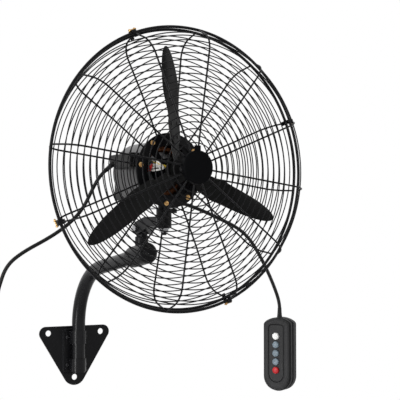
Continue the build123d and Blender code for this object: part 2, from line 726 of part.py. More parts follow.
def make_clamp_screws():
    """Screws through the clamps, each with its nut behind."""
    reach = CLAMP_FRONT - CLAMP_REAR + 2 * LIP + 5
    screw = pan_screw(4.2, 3, CLAMP_SCREW_SHANK, reach)
    nut_top = CLAMP_REAR - CLAMP_FRONT - 2 * LIP
    screw += Pos(0, 0, nut_top - 3) * extrude(RegularPolygon(4, 6), amount=3)
    seat = Pos(CLAMP_SCREW_R, 0, CLAMP_FRONT + LIP)
    return together(HEAD, [turn * seat * screw for turn in around(CLAMPS, RIB_PHASE)])


# ---------------------------------------------------------------- rotor and fan

SHAFT_FRONT = 24
SHAFT_BACK = REAR_BEARING - 1
HUB_BACK = BLADE_PLANE - 20
HUB_FRONT = BLADE_PLANE + 12
HUB_SCREW_AT = HUB_BACK + 6
HUB_SCREW_R = 3
RIVET_R = 2
RIVETS_AT = ((60, -8), (60, 8), (87, -12), (87, 12))


def make_shaft():
    shaft = disc(SHAFT_R, SHAFT_BACK, SHAFT_FRONT)
    shaft = chamfer(shaft.edges().sort_by(Axis.Z)[-1], 1)
    return HEAD * shaft


def make_rotor_core():
    core = ring(ROTOR_R, SHAFT_R, CORE_BACK, CORE_FRONT)
    core += ring(ROTOR_R - 3, ROTOR_R - 9, CORE_BACK - 6, CORE_FRONT + 6)
    return HEAD * core


def on_blade(turn, shape):
    """Places what is drawn flat on one blade: X outwards, Z to the front."""
    return turn * Pos(0, 0, BLADE_PLANE) * Rot(ROOT_PITCH, 0, 0) * shape


def make_spider():
    """Hub with three pitched arm plates that carry the blades."""
    arm = Polyline((14, -14), (34, -22), (ARM_END_R - 8, -22), (ARM_END_R, -14), close=False)
    arm += Line((ARM_END_R, -14), (ARM_END_R, 20))
    arm += Polyline((ARM_END_R, 20), (ARM_END_R - 8, 28), (34, 28), (14, 14), close=False)
    arm += Line((14, 14), (14, -14))
    back = -BLADE_THICK / 2
    plate = extrude(make_face(arm.edges()), amount=-ARM_THICK)
    for x, y in RIVETS_AT:
        plate -= Pos(x, y) * disc(RIVET_R, -10, 10)
    plate = Pos(0, 0, back) * plate
    hub = disc(HUB_R, HUB_BACK, HUB_FRONT)
    hub += disc(2 * HUB_R, BLADE_PLANE - 6, BLADE_PLANE - 2)
    hub = joined([hub, *[on_blade(turn, plate) for turn in around(BLADES, BLADE_PHASE)]])
    hub -= disc(SHAFT_R, HUB_BACK - 20, HUB_FRONT + 20)
    hub -= Pos(0, 0, HUB_SCREW_AT) * Rot(90, 0, 0) * disc(HUB_SCREW_R, 0, 2 * HUB_R)
    return HEAD * hub


def make_spider_screw():
    screw = make_set_screw(HUB_SCREW_R, SHAFT_R, HUB_R + 1, 1.6)
    return HEAD * Pos(0, 0, HUB_SCREW_AT) * Rot(90, 0, 0) * screw


# The planform: distance from the axis and the angles of the trailing and leading edges
PLANFORM = (
    (46, -17, 15), (72, -19.5, 17), (97, -21.5, 18), (135, -22.5, 18.5),
    (175, -20, 17), (205, -14.5, 12.5), (222, -7.5, 6.5),
)
# Beyond the arm plate the blade untwists and takes its camber: radius, pitch, camber
TWIST = ((ARM_END_R, ROOT_PITCH, 0), (135, 16, 4), (180, 15, 5), (TIP_R + 3.4, 13, 4))
# How far the blank reaches to either side of the blade's middle line before it is trimmed
BLANK = (-95, 85)


def blade_section(at, pitch, camber):
    """A thin bowed strip across the blade, at one distance from the axis."""
    half = BLADE_THICK / 2
    low, high = BLANK
    front = Bezier((low, half), (0, half + 2 * camber), (high, half))
    back = Bezier((high, -half), (0, 2 * camber - half), (low, -half))
    sides = [Line(front @ 1, back @ 0), Line(back @ 1, front @ 0)]
    strip = make_face([*front.edges(), *back.edges(), *sides])
    plane = Plane(origin=(at, 0, 0), x_dir=(0, 1, 0), z_dir=(1, 0, 0))
    return Rot(pitch, 0, 0) * (plane * strip)


def make_blade(turn):
    """Pressed blade: a flat root on its arm, then a twisted and bowed paddle."""
    def polar(radius, angle):
        return (radius * cos(radians(angle)), radius * sin(radians(angle)))

    low_edge = [polar(r, low) for r, low, _ in PLANFORM]
    high_edge = [polar(r, high) for r, _, high in reversed(PLANFORM)]
    rim = Spline(*low_edge, (TIP_R, 0), *high_edge)
    outline = make_face([*rim.edges(), Line(high_edge[-1], low_edge[0])])
    prism = extrude(outline, amount=60, both=True)
    paddle = loft([blade_section(*station) for station in TWIST])
    half = BLADE_THICK / 2
    root = Rot(ROOT_PITCH, 0, 0) * block((30, ARM_END_R), BLANK, (-half, half))
    blade = (paddle + root) & prism
    blade = Pos(0, 0, BLADE_PLANE) * blade
    blade = turn * blade
    for x, y in RIVETS_AT:
        blade -= on_blade(turn, Pos(x, y) * disc(RIVET_R, -5, 5))
    return HEAD * blade


def make_rivets():
    low = -BLADE_THICK / 2 - ARM_THICK
    top = BLADE_THICK / 2
    rivet = stud(RIVET_R, low, top) + stud(2 * RIVET_R, top, top + 1.3)
    rivet += stud(2 * RIVET_R - 0.4, low - 1, low)
    spots = [Pos(x, y) * rivet for x, y in RIVETS_AT]
    turns = around(BLADES, BLADE_PHASE)
    return together(HEAD, [on_blade(turn, spot) for turn in turns for spot in spots])


# ---------------------------------------------------------------- cords

# Each route lists its points in the neck's frame: across, behind the rim plane, above the axis
MAINS_ROUTE = (
    (-87.9, 140, 2.24), (-98.7, 140, -6.71), (-112, 142.5, -29), (-132, 144, -70), (-160, 143, -99),
    (-200, 140, -125), (-258, 135.5, -153), (-290, 131.5, -177), (-304, 130, -215),
    (-309.4, 129.3, -238.4), (-309.1, 136.4, -257.1), (-304.16, 149.65, -271.24),
)
PENDANT_ROUTE = (
    (52.3, 84, -61), (82, 84, -69.1), (128, 87.5, -86), (180, 90, -106.5), (209, 92, -129),
    (230, 93, -157), (251, 94, -187), (270, 95, -219), (282.4, 95, -250), (282.4, 95, -267),
)


def cord_tube(name, route):
    """A round cord along straight runs joined by the widest arcs that they allow."""
    points = [Vector(*point) for point in route]
    radii = []
    for before, here, after in zip(points, points[1:], points[2:]):
        turn = (here - before).get_angle(after - here)
        shorter = min((here - before).length, (after - here).length)
        radii.append(0.45 * shorter / tan(radians(turn / 2)))
    print(name, "radii", [round(radius) for radius in radii])
    path = FilletPolyline(*points, radius=radii)
    section = Plane(origin=points[0], z_dir=points[1] - points[0]) * RegularPolygon(
        CORD_D / 2, CORD_SIDES
    )
    tube = sweep(section, path=path)
    print(name, "length", round(path.length, 1), "volume share", round(
        tube.volume / (section.area * path.length), 4
    ))
    return NECK * tube


COIL_TURNS = 6.125
COIL_MEAN_R = 37
TURN_PITCH = CORD_D + 0.6
COIL_ACROSS = Vector(0.349, 0.937, 0).normalized()
COIL_OUT = Vector(-0.937, 0.349, 0).normalized()
COIL_UP = Vector(0, 0, 1)
COIL_INNER_R = COIL_MEAN_R - TURN_PITCH * COIL_TURNS / 4
COIL_MIDDLE = COIL_TURNS / 2
# The cord comes in at 45 degrees, and the first turn already draws inwards by its spiral's slope
COIL_OUTER_R = COIL_INNER_R + TURN_PITCH * COIL_MIDDLE
COIL_START = 45 - degrees(atan2(TURN_PITCH, 2 * pi * COIL_OUTER_R))


def coil_radius(turns):
    return COIL_INNER_R + TURN_PITCH * abs(turns - COIL_MIDDLE)


def coil_point(turns):
    """A point of the coil: it spirals in, climbs a layer in half a turn, and spirals out."""
    angle = radians(COIL_START + 360 * turns)
    climb = min(max((turns - COIL_MIDDLE) * 2 + 0.5, 0), 1)
    lift = TURN_PITCH * climb * climb * (3 - 2 * climb)
    radius = coil_radius(turns)
    return COIL_ACROSS * (radius * sin(angle)) + COIL_UP * (radius * cos(angle)) + COIL_OUT * lift


def coil_way(turns):
    step = 0.02
    return (coil_point(turns + step) - coil_point(turns - step)).normalized()


def biarc(start, leave, end, arrive):
    """Two arcs that meet without a corner, from one point and direction to another."""
    chord = end - start
    both = chord.dot(leave + arrive)
    open_share = 2 * (1 - leave.dot(arrive))
    reach = (sqrt(both**2 + open_share * chord.dot(chord)) - both) / open_share
    middle = (start + leave * reach + end - arrive * reach) * 0.5
    first = Edge.make_tangent_arc(start, leave, middle)
    return [first, Edge.make_tangent_arc(middle, first % 1, end)]


def make_coil():
    """The rest of the mains lead, wound in two layers, between the cord's end and the plug."""
    entry = Vector(*MAINS_ROUTE[-1])
    entry += coil_way(0) * MEETING
    shift = entry - coil_point(0) + coil_way(0) * CORD_D
    quarters = [COIL_TURNS * step / round(COIL_TURNS * 4) for step in range(round(COIL_TURNS * 4) + 1)]
    edges = [Line(entry, entry + coil_way(0) * CORD_D).edge()]
    for here, then in zip(quarters, quarters[1:]):
        edges += biarc(coil_point(here) + shift, coil_way(here), coil_point(then) + shift, coil_way(then))
    tip = edges[-1] @ 1
    edges.append(Line(tip, tip + edges[-1] % 1 * CORD_D).edge())
    path = Wire(edges)
    samples = [path @ (step / 700) for step in range(701)]
    near = CORD_D * 4
    spacing = path.length / 700
    skip = int(near / spacing)
    least = min(
        (samples[i] - samples[j]).length for i in range(701) for j in range(i + skip, 701)
    )
    print("coil length", round(path.length, 1), "least gap", round(least - CORD_D, 2))
    section = Plane(origin=entry, z_dir=coil_way(0)) * RegularPolygon(CORD_D / 2, COIL_SIDES)
    coil = sweep(section, path=path)
    print("coil volume share", round(coil.volume / (section.area * path.length), 4))
    return NECK * coil, path @ 1, path % 1, shift


def make_tie(shift):
    """A flat band round the coil's turns, over its top."""
    across = TURN_PITCH + CORD_D
    tall = COIL_TURNS / 2 * TURN_PITCH + CORD_D
    middle = (coil_radius(0) + COIL_INNER_R) / 2
    angle = radians(-20)
    way = COIL_ACROSS * cos(angle) - COIL_UP * sin(angle)
    rise = COIL_ACROSS * sin(angle) + COIL_UP * cos(angle)
    centre = shift + rise * middle + COIL_OUT * (TURN_PITCH / 2)
    band = RectangleRounded(tall + 4.4, across + 2.4, 3) - RectangleRounded(tall + 2, across, 2)
    frame = Plane(origin=centre, x_dir=rise, z_dir=way)
    return NECK * frame.location * extrude(band, amount=5, both=True)


def make_plug(at, way):
    """Mains plug: strain relief, body and two flat blades with a round earth pin."""
    relief = 32
    body = block((-13, 13), (-8.5, 8.5), (relief, relief + 22))
    body = fillet(body.edges().filter_by(Axis.Z), 5)
    plug = Pos(0, 0, (relief + MEETING) / 2) * Cone(3.9, 6, relief - MEETING) + body
    for side in (-1, 1):
        plug += block((side * 6.35 - 0.75, side * 6.35 + 0.75), (-5.2, 1.2), (relief + 22, relief + 39))
    plug += Pos(0, 5) * disc(2.4, relief + 22, relief + 41)
    return NECK * Plane(origin=at, x_dir=COIL_OUT, z_dir=way).location * plug


# ---------------------------------------------------------------- pendant control

PENDANT_TOP = Vector(282.4, 95, -287)
PENDANT_FRONT = Vector(-0.866, -0.5, 0)
PENDANT_ACROSS = Vector(0.5, -0.866, 0)
PENDANT = NECK * Plane(origin=PENDANT_TOP, x_dir=PENDANT_ACROSS, z_dir=PENDANT_FRONT).location
BUSH = 20
HALF_DEEP = PENDANT_DEEP / 2
HALF_WIDE = PENDANT_WIDE / 2
TOP_ARCH_R = 110
GROOVE = 1
PANEL_WIDE = 31
PANEL_TOP = -15
PANEL_TALL = 114
PANEL_SEAT = HALF_DEEP - 1.8
FIRST_BUTTON = -37.5
SCREWS_AT = ((-20, -16), (20, -16), (-14, -129), (14, -129))


def pendant_outline(inset):
    """Shallow arched top with round corners, straight sides and a full round foot."""
    round_at = HALF_WIDE - PENDANT_TALL
    sides = Pos(0, round_at / 2) * Rectangle(PENDANT_WIDE, -round_at)
    arch = Pos(0, -TOP_ARCH_R) * Circle(TOP_ARCH_R)
    upper = fillet((sides & arch).vertices().group_by(Axis.Y)[-1], 9)
    outline = upper + Pos(0, round_at) * Circle(HALF_WIDE)
    return offset(outline, -inset) if inset else outline


def panel_outline(inset):
    """The long field round the buttons: square shoulders and a round foot."""
    half = PANEL_WIDE / 2 - inset
    low = PANEL_TOP - PANEL_TALL + PANEL_WIDE / 2
    field = Pos(0, (PANEL_TOP - inset + low) / 2) * Rectangle(2 * half, PANEL_TOP - inset - low)
    field = fillet(field.vertices().group_by(Axis.Y)[-1], 6)
    return field + Pos(0, low) * Circle(half)


def slab(outline, low, high):
    return Pos(0, 0, low) * extrude(outline, amount=high - low)


def button_places():
    return [FIRST_BUTTON - BUTTON_PITCH * step for step in range(BUTTONS)]


def make_bush():
    relief = Rot(-90, 0, 0) * Pos(0, 0, -4) * disc(6.6, 0, 4)
    relief += Rot(-90, 0, 0) * Pos(0, 0, BUSH / 2) * Cone(6, 4.2, BUSH)
    return relief


def make_front_shell(bush):
    """Front half of the pendant with the middle band and the posts for the screws."""
    body = slab(pendant_outline(0), 3, HALF_DEEP)
    body = chamfer(body.faces().sort_by(Axis.Z)[-1].edges(), 2)
    body += slab(pendant_outline(GROOVE), 2, 3) + slab(pendant_outline(0), -2, 2)
    body -= slab(pendant_outline(PENDANT_WALL), -3, HALF_DEEP - PENDANT_WALL)
    body -= slab(panel_outline(0), PANEL_SEAT, HALF_DEEP + 1)
    for x, y in SCREWS_AT:
        body += Pos(x, y) * disc(4, PENDANT_WALL - HALF_DEEP, HALF_DEEP - PENDANT_WALL)
        body -= Pos(x, y) * disc(1.5, -HALF_DEEP, HALF_DEEP - 5)
    for y in button_places():
        body -= Pos(0, y) * disc(BUTTON_R + 0.1, 5, 30)
    return PENDANT * (body - bush)


def make_rear_shell(bush):
    body = slab(pendant_outline(0), -HALF_DEEP, -3)
    body = chamfer(body.faces().sort_by(Axis.Z)[0].edges(), 3)
    body += slab(pendant_outline(GROOVE), -3, -2)
    body -= slab(pendant_outline(PENDANT_WALL), PENDANT_WALL - HALF_DEEP, 0)
    for x, y in SCREWS_AT:
        body -= Pos(x, y) * disc(1.5 + RUNNING, -30, 0)
        body -= Pos(x, y) * disc(3.2, -30, 1.4 - HALF_DEEP)
    return PENDANT * (body - bush)


def make_panel():
    panel = slab(panel_outline(RUNNING), PANEL_SEAT, PANEL_SEAT + 1)
    for y in button_places():
        panel -= Pos(0, y) * disc(BUTTON_R + 0.1, 5, 30)
    return PENDANT * panel


def make_switch_block():
    low = PENDANT_WALL - HALF_DEEP
    base = block((-10, 10), (-116, -28), (low, 9))
    return PENDANT * base


def make_pendant_screws():
    screw = pan_screw(3, 1.3, 1.5, 18)
    seat = 1.4 - HALF_DEEP
    turned = Rot(180, 0, 0) * screw
    return together(PENDANT, [Pos(x, y, seat) * turned for x, y in SCREWS_AT])


def make_button(y):
    """Round key with a collar behind the front wall that keeps it in."""
    collar_top = HALF_DEEP - PENDANT_WALL - LOOSE
    key = disc(BUTTON_R, collar_top - 1.6, HALF_DEEP + 2.5)
    key = chamfer(key.edges().sort_by(Axis.Z)[-1], 0.8)
    key += disc(BUTTON_R + 1.4, collar_top - 1.6, collar_top)
    return PENDANT * Pos(0, y) * key


PENDANT_EXIT = Vector(29.1, 84, -54.7)


def make_pendant_gland():
    """Elbow grommet under the motor: a round foot on the shell and a tapered sleeve."""
    foot = Plane(origin=(0, 84, 0), x_dir=(0, 1, 0), z_dir=(0.469, 0, -0.883)).location
    boss = foot * disc(7.5, 50, 66)
    end = Vector(*PENDANT_ROUTE[0])
    way = end - PENDANT_EXIT
    sleeve = Plane(origin=PENDANT_EXIT, z_dir=way).location
    reach = way.length - MEETING
    grommet = boss + sleeve * (Pos(0, 0, reach / 2) * Cone(5.4, 4.2, reach))
    grommet -= Pos(0, 84) * Rot(90, 0, 0) * disc(SHELL_R, -40, 40)
    return NECK * grommet


# ---------------------------------------------------------------- all the pieces

parts["wall_plate"] = make_wall_plate()
parts["arm_straps"] = make_straps()
parts["strap_screws"] = make_strap_screws()
parts["arm_tube"] = make_tube()
parts["elbow_casting"] = make_elbow()
parts["elbow_set_screw"] = make_elbow_screw()
parts["tilt_bracket"] = make_tilt_bracket()
parts["tilt_bolt"] = make_tilt_bolt()
parts["tilt_wing_nut"] = make_wing_nut()
parts["swivel_washer"] = make_washer()
parts["swivel_post"] = make_post()
parts["post_nut"] = make_post_nut()

parts["motor_shell"] = make_shell()
parts["motor_front_bell"] = make_front_bell()
parts["motor_rear_bell"] = make_rear_bell()
parts["motor_bearings"] = make_bearings()
parts["stator_core"] = make_stator()
parts["stator_winding"] = make_winding()
parts["motor_leads"] = make_leads()
parts["terminal_box"] = make_terminal_box()
parts["mains_gland"] = make_mains_gland()

parts["drive_housing"] = make_drive_housing()
parts["drive_motor"] = make_drive_motor()
parts["drive_crank"] = make_crank()
parts["drive_link"] = make_link()

parts["front_guard"] = make_front_guard()
parts["rear_guard"] = make_rear_guard()
parts["rear_guard_plate"] = make_guard_plate()
parts["guard_plate_screws"] = make_guard_screws()
parts["front_cap"] = make_cap()
parts["cap_back_plate"] = make_cap_back()
parts["cap_screw"] = make_cap_screw()
parts["rim_clamps"] = make_clamps()
parts["clamp_screws"] = make_clamp_screws()

parts["rotor_shaft"] = make_shaft()
parts["rotor_core"] = make_rotor_core()
parts["fan_spider"] = make_spider()
parts["spider_set_screw"] = make_spider_screw()
for number, turn in enumerate(around(BLADES, BLADE_PHASE), 1):
    parts[f"blade_{number}"] = make_blade(turn)
parts["blade_rivets"] = make_rivets()

parts["mains_cord"] = cord_tube("mains cord", MAINS_ROUTE)
parts["mains_coil"], coil_end, coil_end_way, coil_shift = make_coil()
parts["coil_tie"] = make_tie(coil_shift)
parts["mains_plug"] = make_plug(coil_end, coil_end_way)

bush_shape = make_bush()
parts["pendant_gland"] = make_pendant_gland()
parts["pendant_cord"] = cord_tube("pendant cord", PENDANT_ROUTE)
parts["pendant_bush"] = PENDANT * bush_shape
parts["pendant_front_shell"] = make_front_shell(bush_shape)
parts["pendant_rear_shell"] = make_rear_shell(bush_shape)
parts["pendant_panel"] = make_panel()
parts["pendant_switch_block"] = make_switch_block()
parts["pendant_screws"] = make_pendant_screws()
for number, place in enumerate(button_places(), 1):
    parts[f"pendant_button_{number}"] = make_button(place)

os.makedirs("parts", exist_ok=True)
for name, shape in parts.items():
    export_step(shape, f"parts/{name}.step")
print(len(parts), "pieces written")
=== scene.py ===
import bmesh
import bpy
import numpy as np
from mathutils import Euler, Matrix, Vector
from math import atan2, cos, degrees, pi, radians, sin, tan


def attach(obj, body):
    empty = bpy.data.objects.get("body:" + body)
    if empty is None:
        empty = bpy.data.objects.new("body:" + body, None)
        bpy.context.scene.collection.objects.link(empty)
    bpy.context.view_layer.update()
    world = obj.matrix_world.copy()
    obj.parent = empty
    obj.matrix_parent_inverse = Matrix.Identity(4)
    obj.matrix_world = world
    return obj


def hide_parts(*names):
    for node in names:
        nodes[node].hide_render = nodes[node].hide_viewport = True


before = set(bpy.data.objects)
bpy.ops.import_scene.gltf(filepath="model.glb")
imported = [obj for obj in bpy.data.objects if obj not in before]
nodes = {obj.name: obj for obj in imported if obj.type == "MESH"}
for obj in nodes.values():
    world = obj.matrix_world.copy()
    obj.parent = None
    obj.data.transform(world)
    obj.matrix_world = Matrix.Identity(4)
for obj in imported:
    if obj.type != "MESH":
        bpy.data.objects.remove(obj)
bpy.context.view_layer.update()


# ---------------------------------------------------------------- camera and studio
# The fan is seen from its front left, a little from below the hub, with a long lens.
# A pale round floor lies well under the wall plate, and four soft boxes light the fan.

LENS = 99
SENSOR_WIDE = 36
CAMERA_AT = (-1.0025, -2.2292, 0.2018)
CAMERA_PITCH = 2.104
CAMERA_YAW = -30.712

camera_data = bpy.data.cameras.new("camera")
camera_data.lens = LENS
camera_data.sensor_width = SENSOR_WIDE
camera = bpy.data.objects.new("camera", camera_data)
camera.location = CAMERA_AT
camera.rotation_euler = Euler((radians(90 + CAMERA_PITCH), 0, radians(CAMERA_YAW)))
bpy.context.scene.collection.objects.link(camera)
bpy.context.scene.camera = camera
bpy.context.scene.view_settings.view_transform = "Standard"

# Each soft box: its name, place and target, its width and height in metres, and its watts
SOFT_BOXES = (
    ("key_box", (-2.2, -2.4, 2.3), (0.0, -0.42, 0.3), 1.5, 1.5, 24),
    ("fill_box", (2.6, -2.2, 0.9), (0.0, -0.42, 0.2), 1.4, 1.4, 14),
    ("rear_box", (-1.4, 1.6, 2.2), (0.0, -0.30, 0.2), 1.2, 1.2, 24),
    ("strip_box", (-2.3, -0.85, 0.2), (0.0, -0.15, 0.1), 0.32, 2.2, 46),
)
for name, place, target, wide, tall, power in SOFT_BOXES:
    lamp = bpy.data.lights.new(name, "AREA")
    lamp.shape = "RECTANGLE"
    lamp.size = wide
    lamp.size_y = tall
    lamp.energy = power
    soft_box = bpy.data.objects.new(name, lamp)
    soft_box.location = place
    soft_box.rotation_euler = (Vector(target) - Vector(place)).to_track_quat("-Z", "Y").to_euler()
    soft_box.visible_camera = False
    bpy.context.scene.collection.objects.link(soft_box)


def set_up(node, values):
    """Sets a node's inputs by their names, and gives the node back."""
    for name, value in values.items():
        node.inputs[name].default_value = value
    return node


def wired(tree, *links):
    """Joins nodes: each link is a node, its output, the next node and that one's input."""
    for start, output, end, taken_by in links:
        tree.links.new(start.outputs[output], end.inputs[taken_by])


ROOM_LIGHT = 0.45

room = bpy.data.worlds.new("studio")
bpy.context.scene.world = room
room.use_nodes = True
room_tree = room.node_tree
background = set_up(room_tree.nodes["Background"], {"Color": (1, 1, 1, 1)})
rays = room_tree.nodes.new("ShaderNodeLightPath")
seen = room_tree.nodes.new("ShaderNodeMath")
seen.operation = "MAXIMUM"
shown = room_tree.nodes.new("ShaderNodeMath")
shown.operation = "MAXIMUM"
strength = set_up(
    room_tree.nodes.new("ShaderNodeMapRange"), {"To Min": ROOM_LIGHT, "To Max": 1.0}
)
wired(
    room_tree,
    (rays, "Is Camera Ray", seen, 0),
    (rays, "Is Glossy Ray", seen, 1),
    (seen, 0, shown, 0),
    (rays, "Is Transmission Ray", shown, 1),
    (shown, 0, strength, "Value"),
    (strength, "Result", background, "Strength"),
)


def grid_faces(rows, columns, round_rows=False, round_columns=False):
    """Quads of a grid laid row by row; a round direction joins its last line to its first."""
    row = np.arange(rows if round_rows else rows - 1)
    column = np.arange(columns if round_columns else columns - 1)
    i, j = np.meshgrid(row, column, indexing="ij")
    next_i = (i + 1) % rows
    next_j = (j + 1) % columns
    corners = (i * columns + j, i * columns + next_j, next_i * columns + next_j, next_i * columns + j)
    return np.stack(corners, axis=-1).reshape(-1, 4)


def mesh_of(name, surfaces):
    """One mesh from several surfaces, each its points and its list of faces."""
    points = np.concatenate([part for part, _ in surfaces])
    starts = np.cumsum([0] + [len(part) for part, _ in surfaces])
    faces = [[start + v for v in face] for start, (_, part) in zip(starts, surfaces) for face in part]
    mesh = bpy.data.meshes.new(name)
    mesh.from_pydata(points.tolist(), [], faces)
    return mesh


FLOOR_Z = -0.95
FLOOR_R = 2.6
FLOOR_MIDDLE_R = 0.02
FLOOR_MIDDLE_Y = -0.3
FLOOR_FADE_R = 0.9
FLOOR_WHITE_R = FLOOR_R - 0.2
FLOOR_COLOUR = (0.86, 0.86, 0.86, 1)


def floor_disc(rings, spokes):
    """Point = (radius cos a, radius sin a), the radius growing evenly from ring to ring."""
    radius = np.linspace(FLOOR_MIDDLE_R, FLOOR_R, rings)[:, None]
    turn = np.linspace(0, 2 * pi, spokes, endpoint=False)[None, :]
    x = radius * np.cos(turn)
    y = radius * np.sin(turn) + FLOOR_MIDDLE_Y
    points = np.stack([x, y, np.full_like(x, FLOOR_Z)], axis=-1).reshape(-1, 3)
    faces = grid_faces(rings, spokes, round_columns=True).tolist()
    return points, faces + [list(range(spokes))]


floor_mesh = mesh_of("studio_floor", [floor_disc(rings=14, spokes=72)])
floor = bpy.data.objects.new("studio_floor", floor_mesh)
bpy.context.scene.collection.objects.link(floor)
floor_look = bpy.data.materials.new("pale_floor")
floor_look.use_nodes = True
floor_tree = floor_look.node_tree
floor_shader = set_up(floor_tree.nodes["Principled BSDF"], {
    "Base Color": FLOOR_COLOUR, "Roughness": 0.8, "Specular IOR Level": 0.1,
})
floor_place = floor_tree.nodes.new("ShaderNodeTexCoord")
floor_centre = floor_tree.nodes.new("ShaderNodeVectorMath")
floor_centre.operation = "DISTANCE"
floor_centre.inputs[1].default_value = (0, FLOOR_MIDDLE_Y, FLOOR_Z)
floor_fade = set_up(floor_tree.nodes.new("ShaderNodeMapRange"), {
    "From Min": FLOOR_FADE_R, "From Max": FLOOR_WHITE_R,
})
floor_fade.interpolation_type = "SMOOTHSTEP"
floor_rays = floor_tree.nodes.new("ShaderNodeLightPath")
floor_seen = floor_tree.nodes.new("ShaderNodeMath")
floor_seen.operation = "MULTIPLY"
floor_white = set_up(floor_tree.nodes.new("ShaderNodeEmission"), {"Color": (1, 1, 1, 1)})
floor_mix = floor_tree.nodes.new("ShaderNodeMixShader")
wired(
    floor_tree,
    (floor_place, "Object", floor_centre, 0),
    (floor_centre, "Value", floor_fade, "Value"),
    (floor_fade, "Result", floor_seen, 0),
    (floor_rays, "Is Camera Ray", floor_seen, 1),
    (floor_seen, 0, floor_mix, 0),
    (floor_shader, "BSDF", floor_mix, 1),
    (floor_white, "Emission", floor_mix, 2),
    (floor_mix, "Shader", floor_tree.nodes["Material Output"], "Surface"),
)
floor.data.materials.append(floor_look)


# ---------------------------------------------------------------- wall plate
# A pressed steel plate with a raised pad, pressed ribs and three holes for its wall screws.
# It is powder coated black, so its edges are soft and its surface has a fine orange peel.


def coat_texture():
    """Colour and gloss that drift slowly over the surface, and a fine grain for its height."""
    group = bpy.data.node_groups.new("coat_texture", "ShaderNodeTree")
    for name, way, kind in (
        ("Dark", "INPUT", "Color"), ("Light", "INPUT", "Color"), ("Cloud Scale", "INPUT", "Float"),
        ("Least Roughness", "INPUT", "Float"), ("Most Roughness", "INPUT", "Float"),
        ("Grain Scale", "INPUT", "Float"), ("Colour", "OUTPUT", "Color"),
        ("Roughness", "OUTPUT", "Float"), ("Height", "OUTPUT", "Float"),
    ):
        group.interface.new_socket(name, in_out=way, socket_type=f"NodeSocket{kind}")
    inside = group.nodes.new("NodeGroupInput")
    outside = group.nodes.new("NodeGroupOutput")
    place = group.nodes.new("ShaderNodeTexCoord")
    cloud = set_up(group.nodes.new("ShaderNodeTexNoise"), {"Detail": 5, "Roughness": 0.6})
    grain = set_up(group.nodes.new("ShaderNodeTexNoise"), {"Detail": 2})
    spread = set_up(group.nodes.new("ShaderNodeMapRange"), {"From Min": 0.3, "From Max": 0.7})
    # A Mix node's colours are known by number only: 6 and 7 go in, and 2 comes out
    tint = group.nodes.new("ShaderNodeMix")
    tint.data_type = "RGBA"
    gloss = group.nodes.new("ShaderNodeMapRange")
    wired(
        group,
        (place, "Object", cloud, "Vector"),
        (inside, "Cloud Scale", cloud, "Scale"),
        (place, "Object", grain, "Vector"),
        (inside, "Grain Scale", grain, "Scale"),
        (cloud, "Fac", spread, "Value"),
        (spread, "Result", tint, 0),
        (inside, "Dark", tint, 6),
        (inside, "Light", tint, 7),
        (tint, 2, outside, "Colour"),
        (grain, "Fac", gloss, "Value"),
        (inside, "Least Roughness", gloss, "To Min"),
        (inside, "Most Roughness", gloss, "To Max"),
        (gloss, "Result", outside, "Roughness"),
        (grain, "Fac", outside, "Height"),
    )
    return group


COAT_TEXTURE = coat_texture()


def finish(name, dark, light, roughness, cloud=25, grain=900, relief=0.00003, specular=0.5, metallic=0):
    """A material whose colour and gloss vary a little and whose surface has a fine grain."""
    look = bpy.data.materials.new(name)
    look.use_nodes = True
    tree = look.node_tree
    shader = set_up(tree.nodes["Principled BSDF"], {
        "Specular IOR Level": specular, "Metallic": metallic,
    })
    texture = tree.nodes.new("ShaderNodeGroup")
    texture.node_tree = COAT_TEXTURE
    set_up(texture, {
        "Dark": (*dark, 1), "Light": (*light, 1), "Cloud Scale": cloud, "Grain Scale": grain,
        "Least Roughness": roughness[0], "Most Roughness": roughness[1],
    })
    bump = set_up(tree.nodes.new("ShaderNodeBump"), {"Distance": relief})
    wired(
        tree,
        (texture, "Colour", shader, "Base Color"),
        (texture, "Roughness", shader, "Roughness"),
        (texture, "Height", bump, "Height"),
        (bump, "Normal", shader, "Normal"),
    )
    return look


def placed(piece, body, slot, look, *replaced):
    """Links a finished piece, and says its body, its finish and the nodes that it stands for."""
    bpy.context.scene.collection.objects.link(piece)
    piece.data.materials.clear()
    piece.data.materials.append(look)
    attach(piece, body)
    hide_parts(*replaced)
    return piece


MERGE_WITHIN = 0.000002
FLAT_WITHIN = 1.2


def softened(node, suffix, edge, body, slot, look, bend=30):
    """The node's own form with merged points, smooth curves and edges rounded by a bevel."""
    mesh = nodes[node].data.copy()
    shape = bmesh.new()
    shape.from_mesh(mesh)
    bmesh.ops.remove_doubles(shape, verts=shape.verts, dist=MERGE_WITHIN)
    bmesh.ops.dissolve_limit(
        shape, angle_limit=radians(FLAT_WITHIN), verts=shape.verts, edges=shape.edges,
        delimit={"NORMAL"},
    )
    shape.to_mesh(mesh)
    shape.free()
    mesh.shade_smooth()
    piece = bpy.data.objects.new(f"{node}_{suffix}", mesh)
    if edge:
        bevel = piece.modifiers.new("soft_edges", "BEVEL")
        bevel.width = edge
        bevel.segments = 2
        bevel.limit_method = "ANGLE"
        bevel.angle_limit = radians(bend)
        bevel.miter_outer = "MITER_ARC"
        smooth = piece.modifiers.new("even_shading", "WEIGHTED_NORMAL")
        smooth.mode = "FACE_AREA"
        smooth.weight = 80
    else:
        mesh.set_sharp_from_angle(angle=radians(bend))
    return placed(piece, body, slot, look, node)


FRAME_COAT = finish(
    "black_powder_coat", (0.0025, 0.0025, 0.003), (0.006, 0.006, 0.007), (0.26, 0.42), specular=0.12
)

softened("wall_plate", "pressing", 0.0009, "base", "frame_black", FRAME_COAT)


# ---------------------------------------------------------------- straps and their screws
# Two omega straps of bent steel strip hold the tube on the pad, each with two pan screws.
# The straps have the tube's glossier black coat, and the screws are blackened steel.

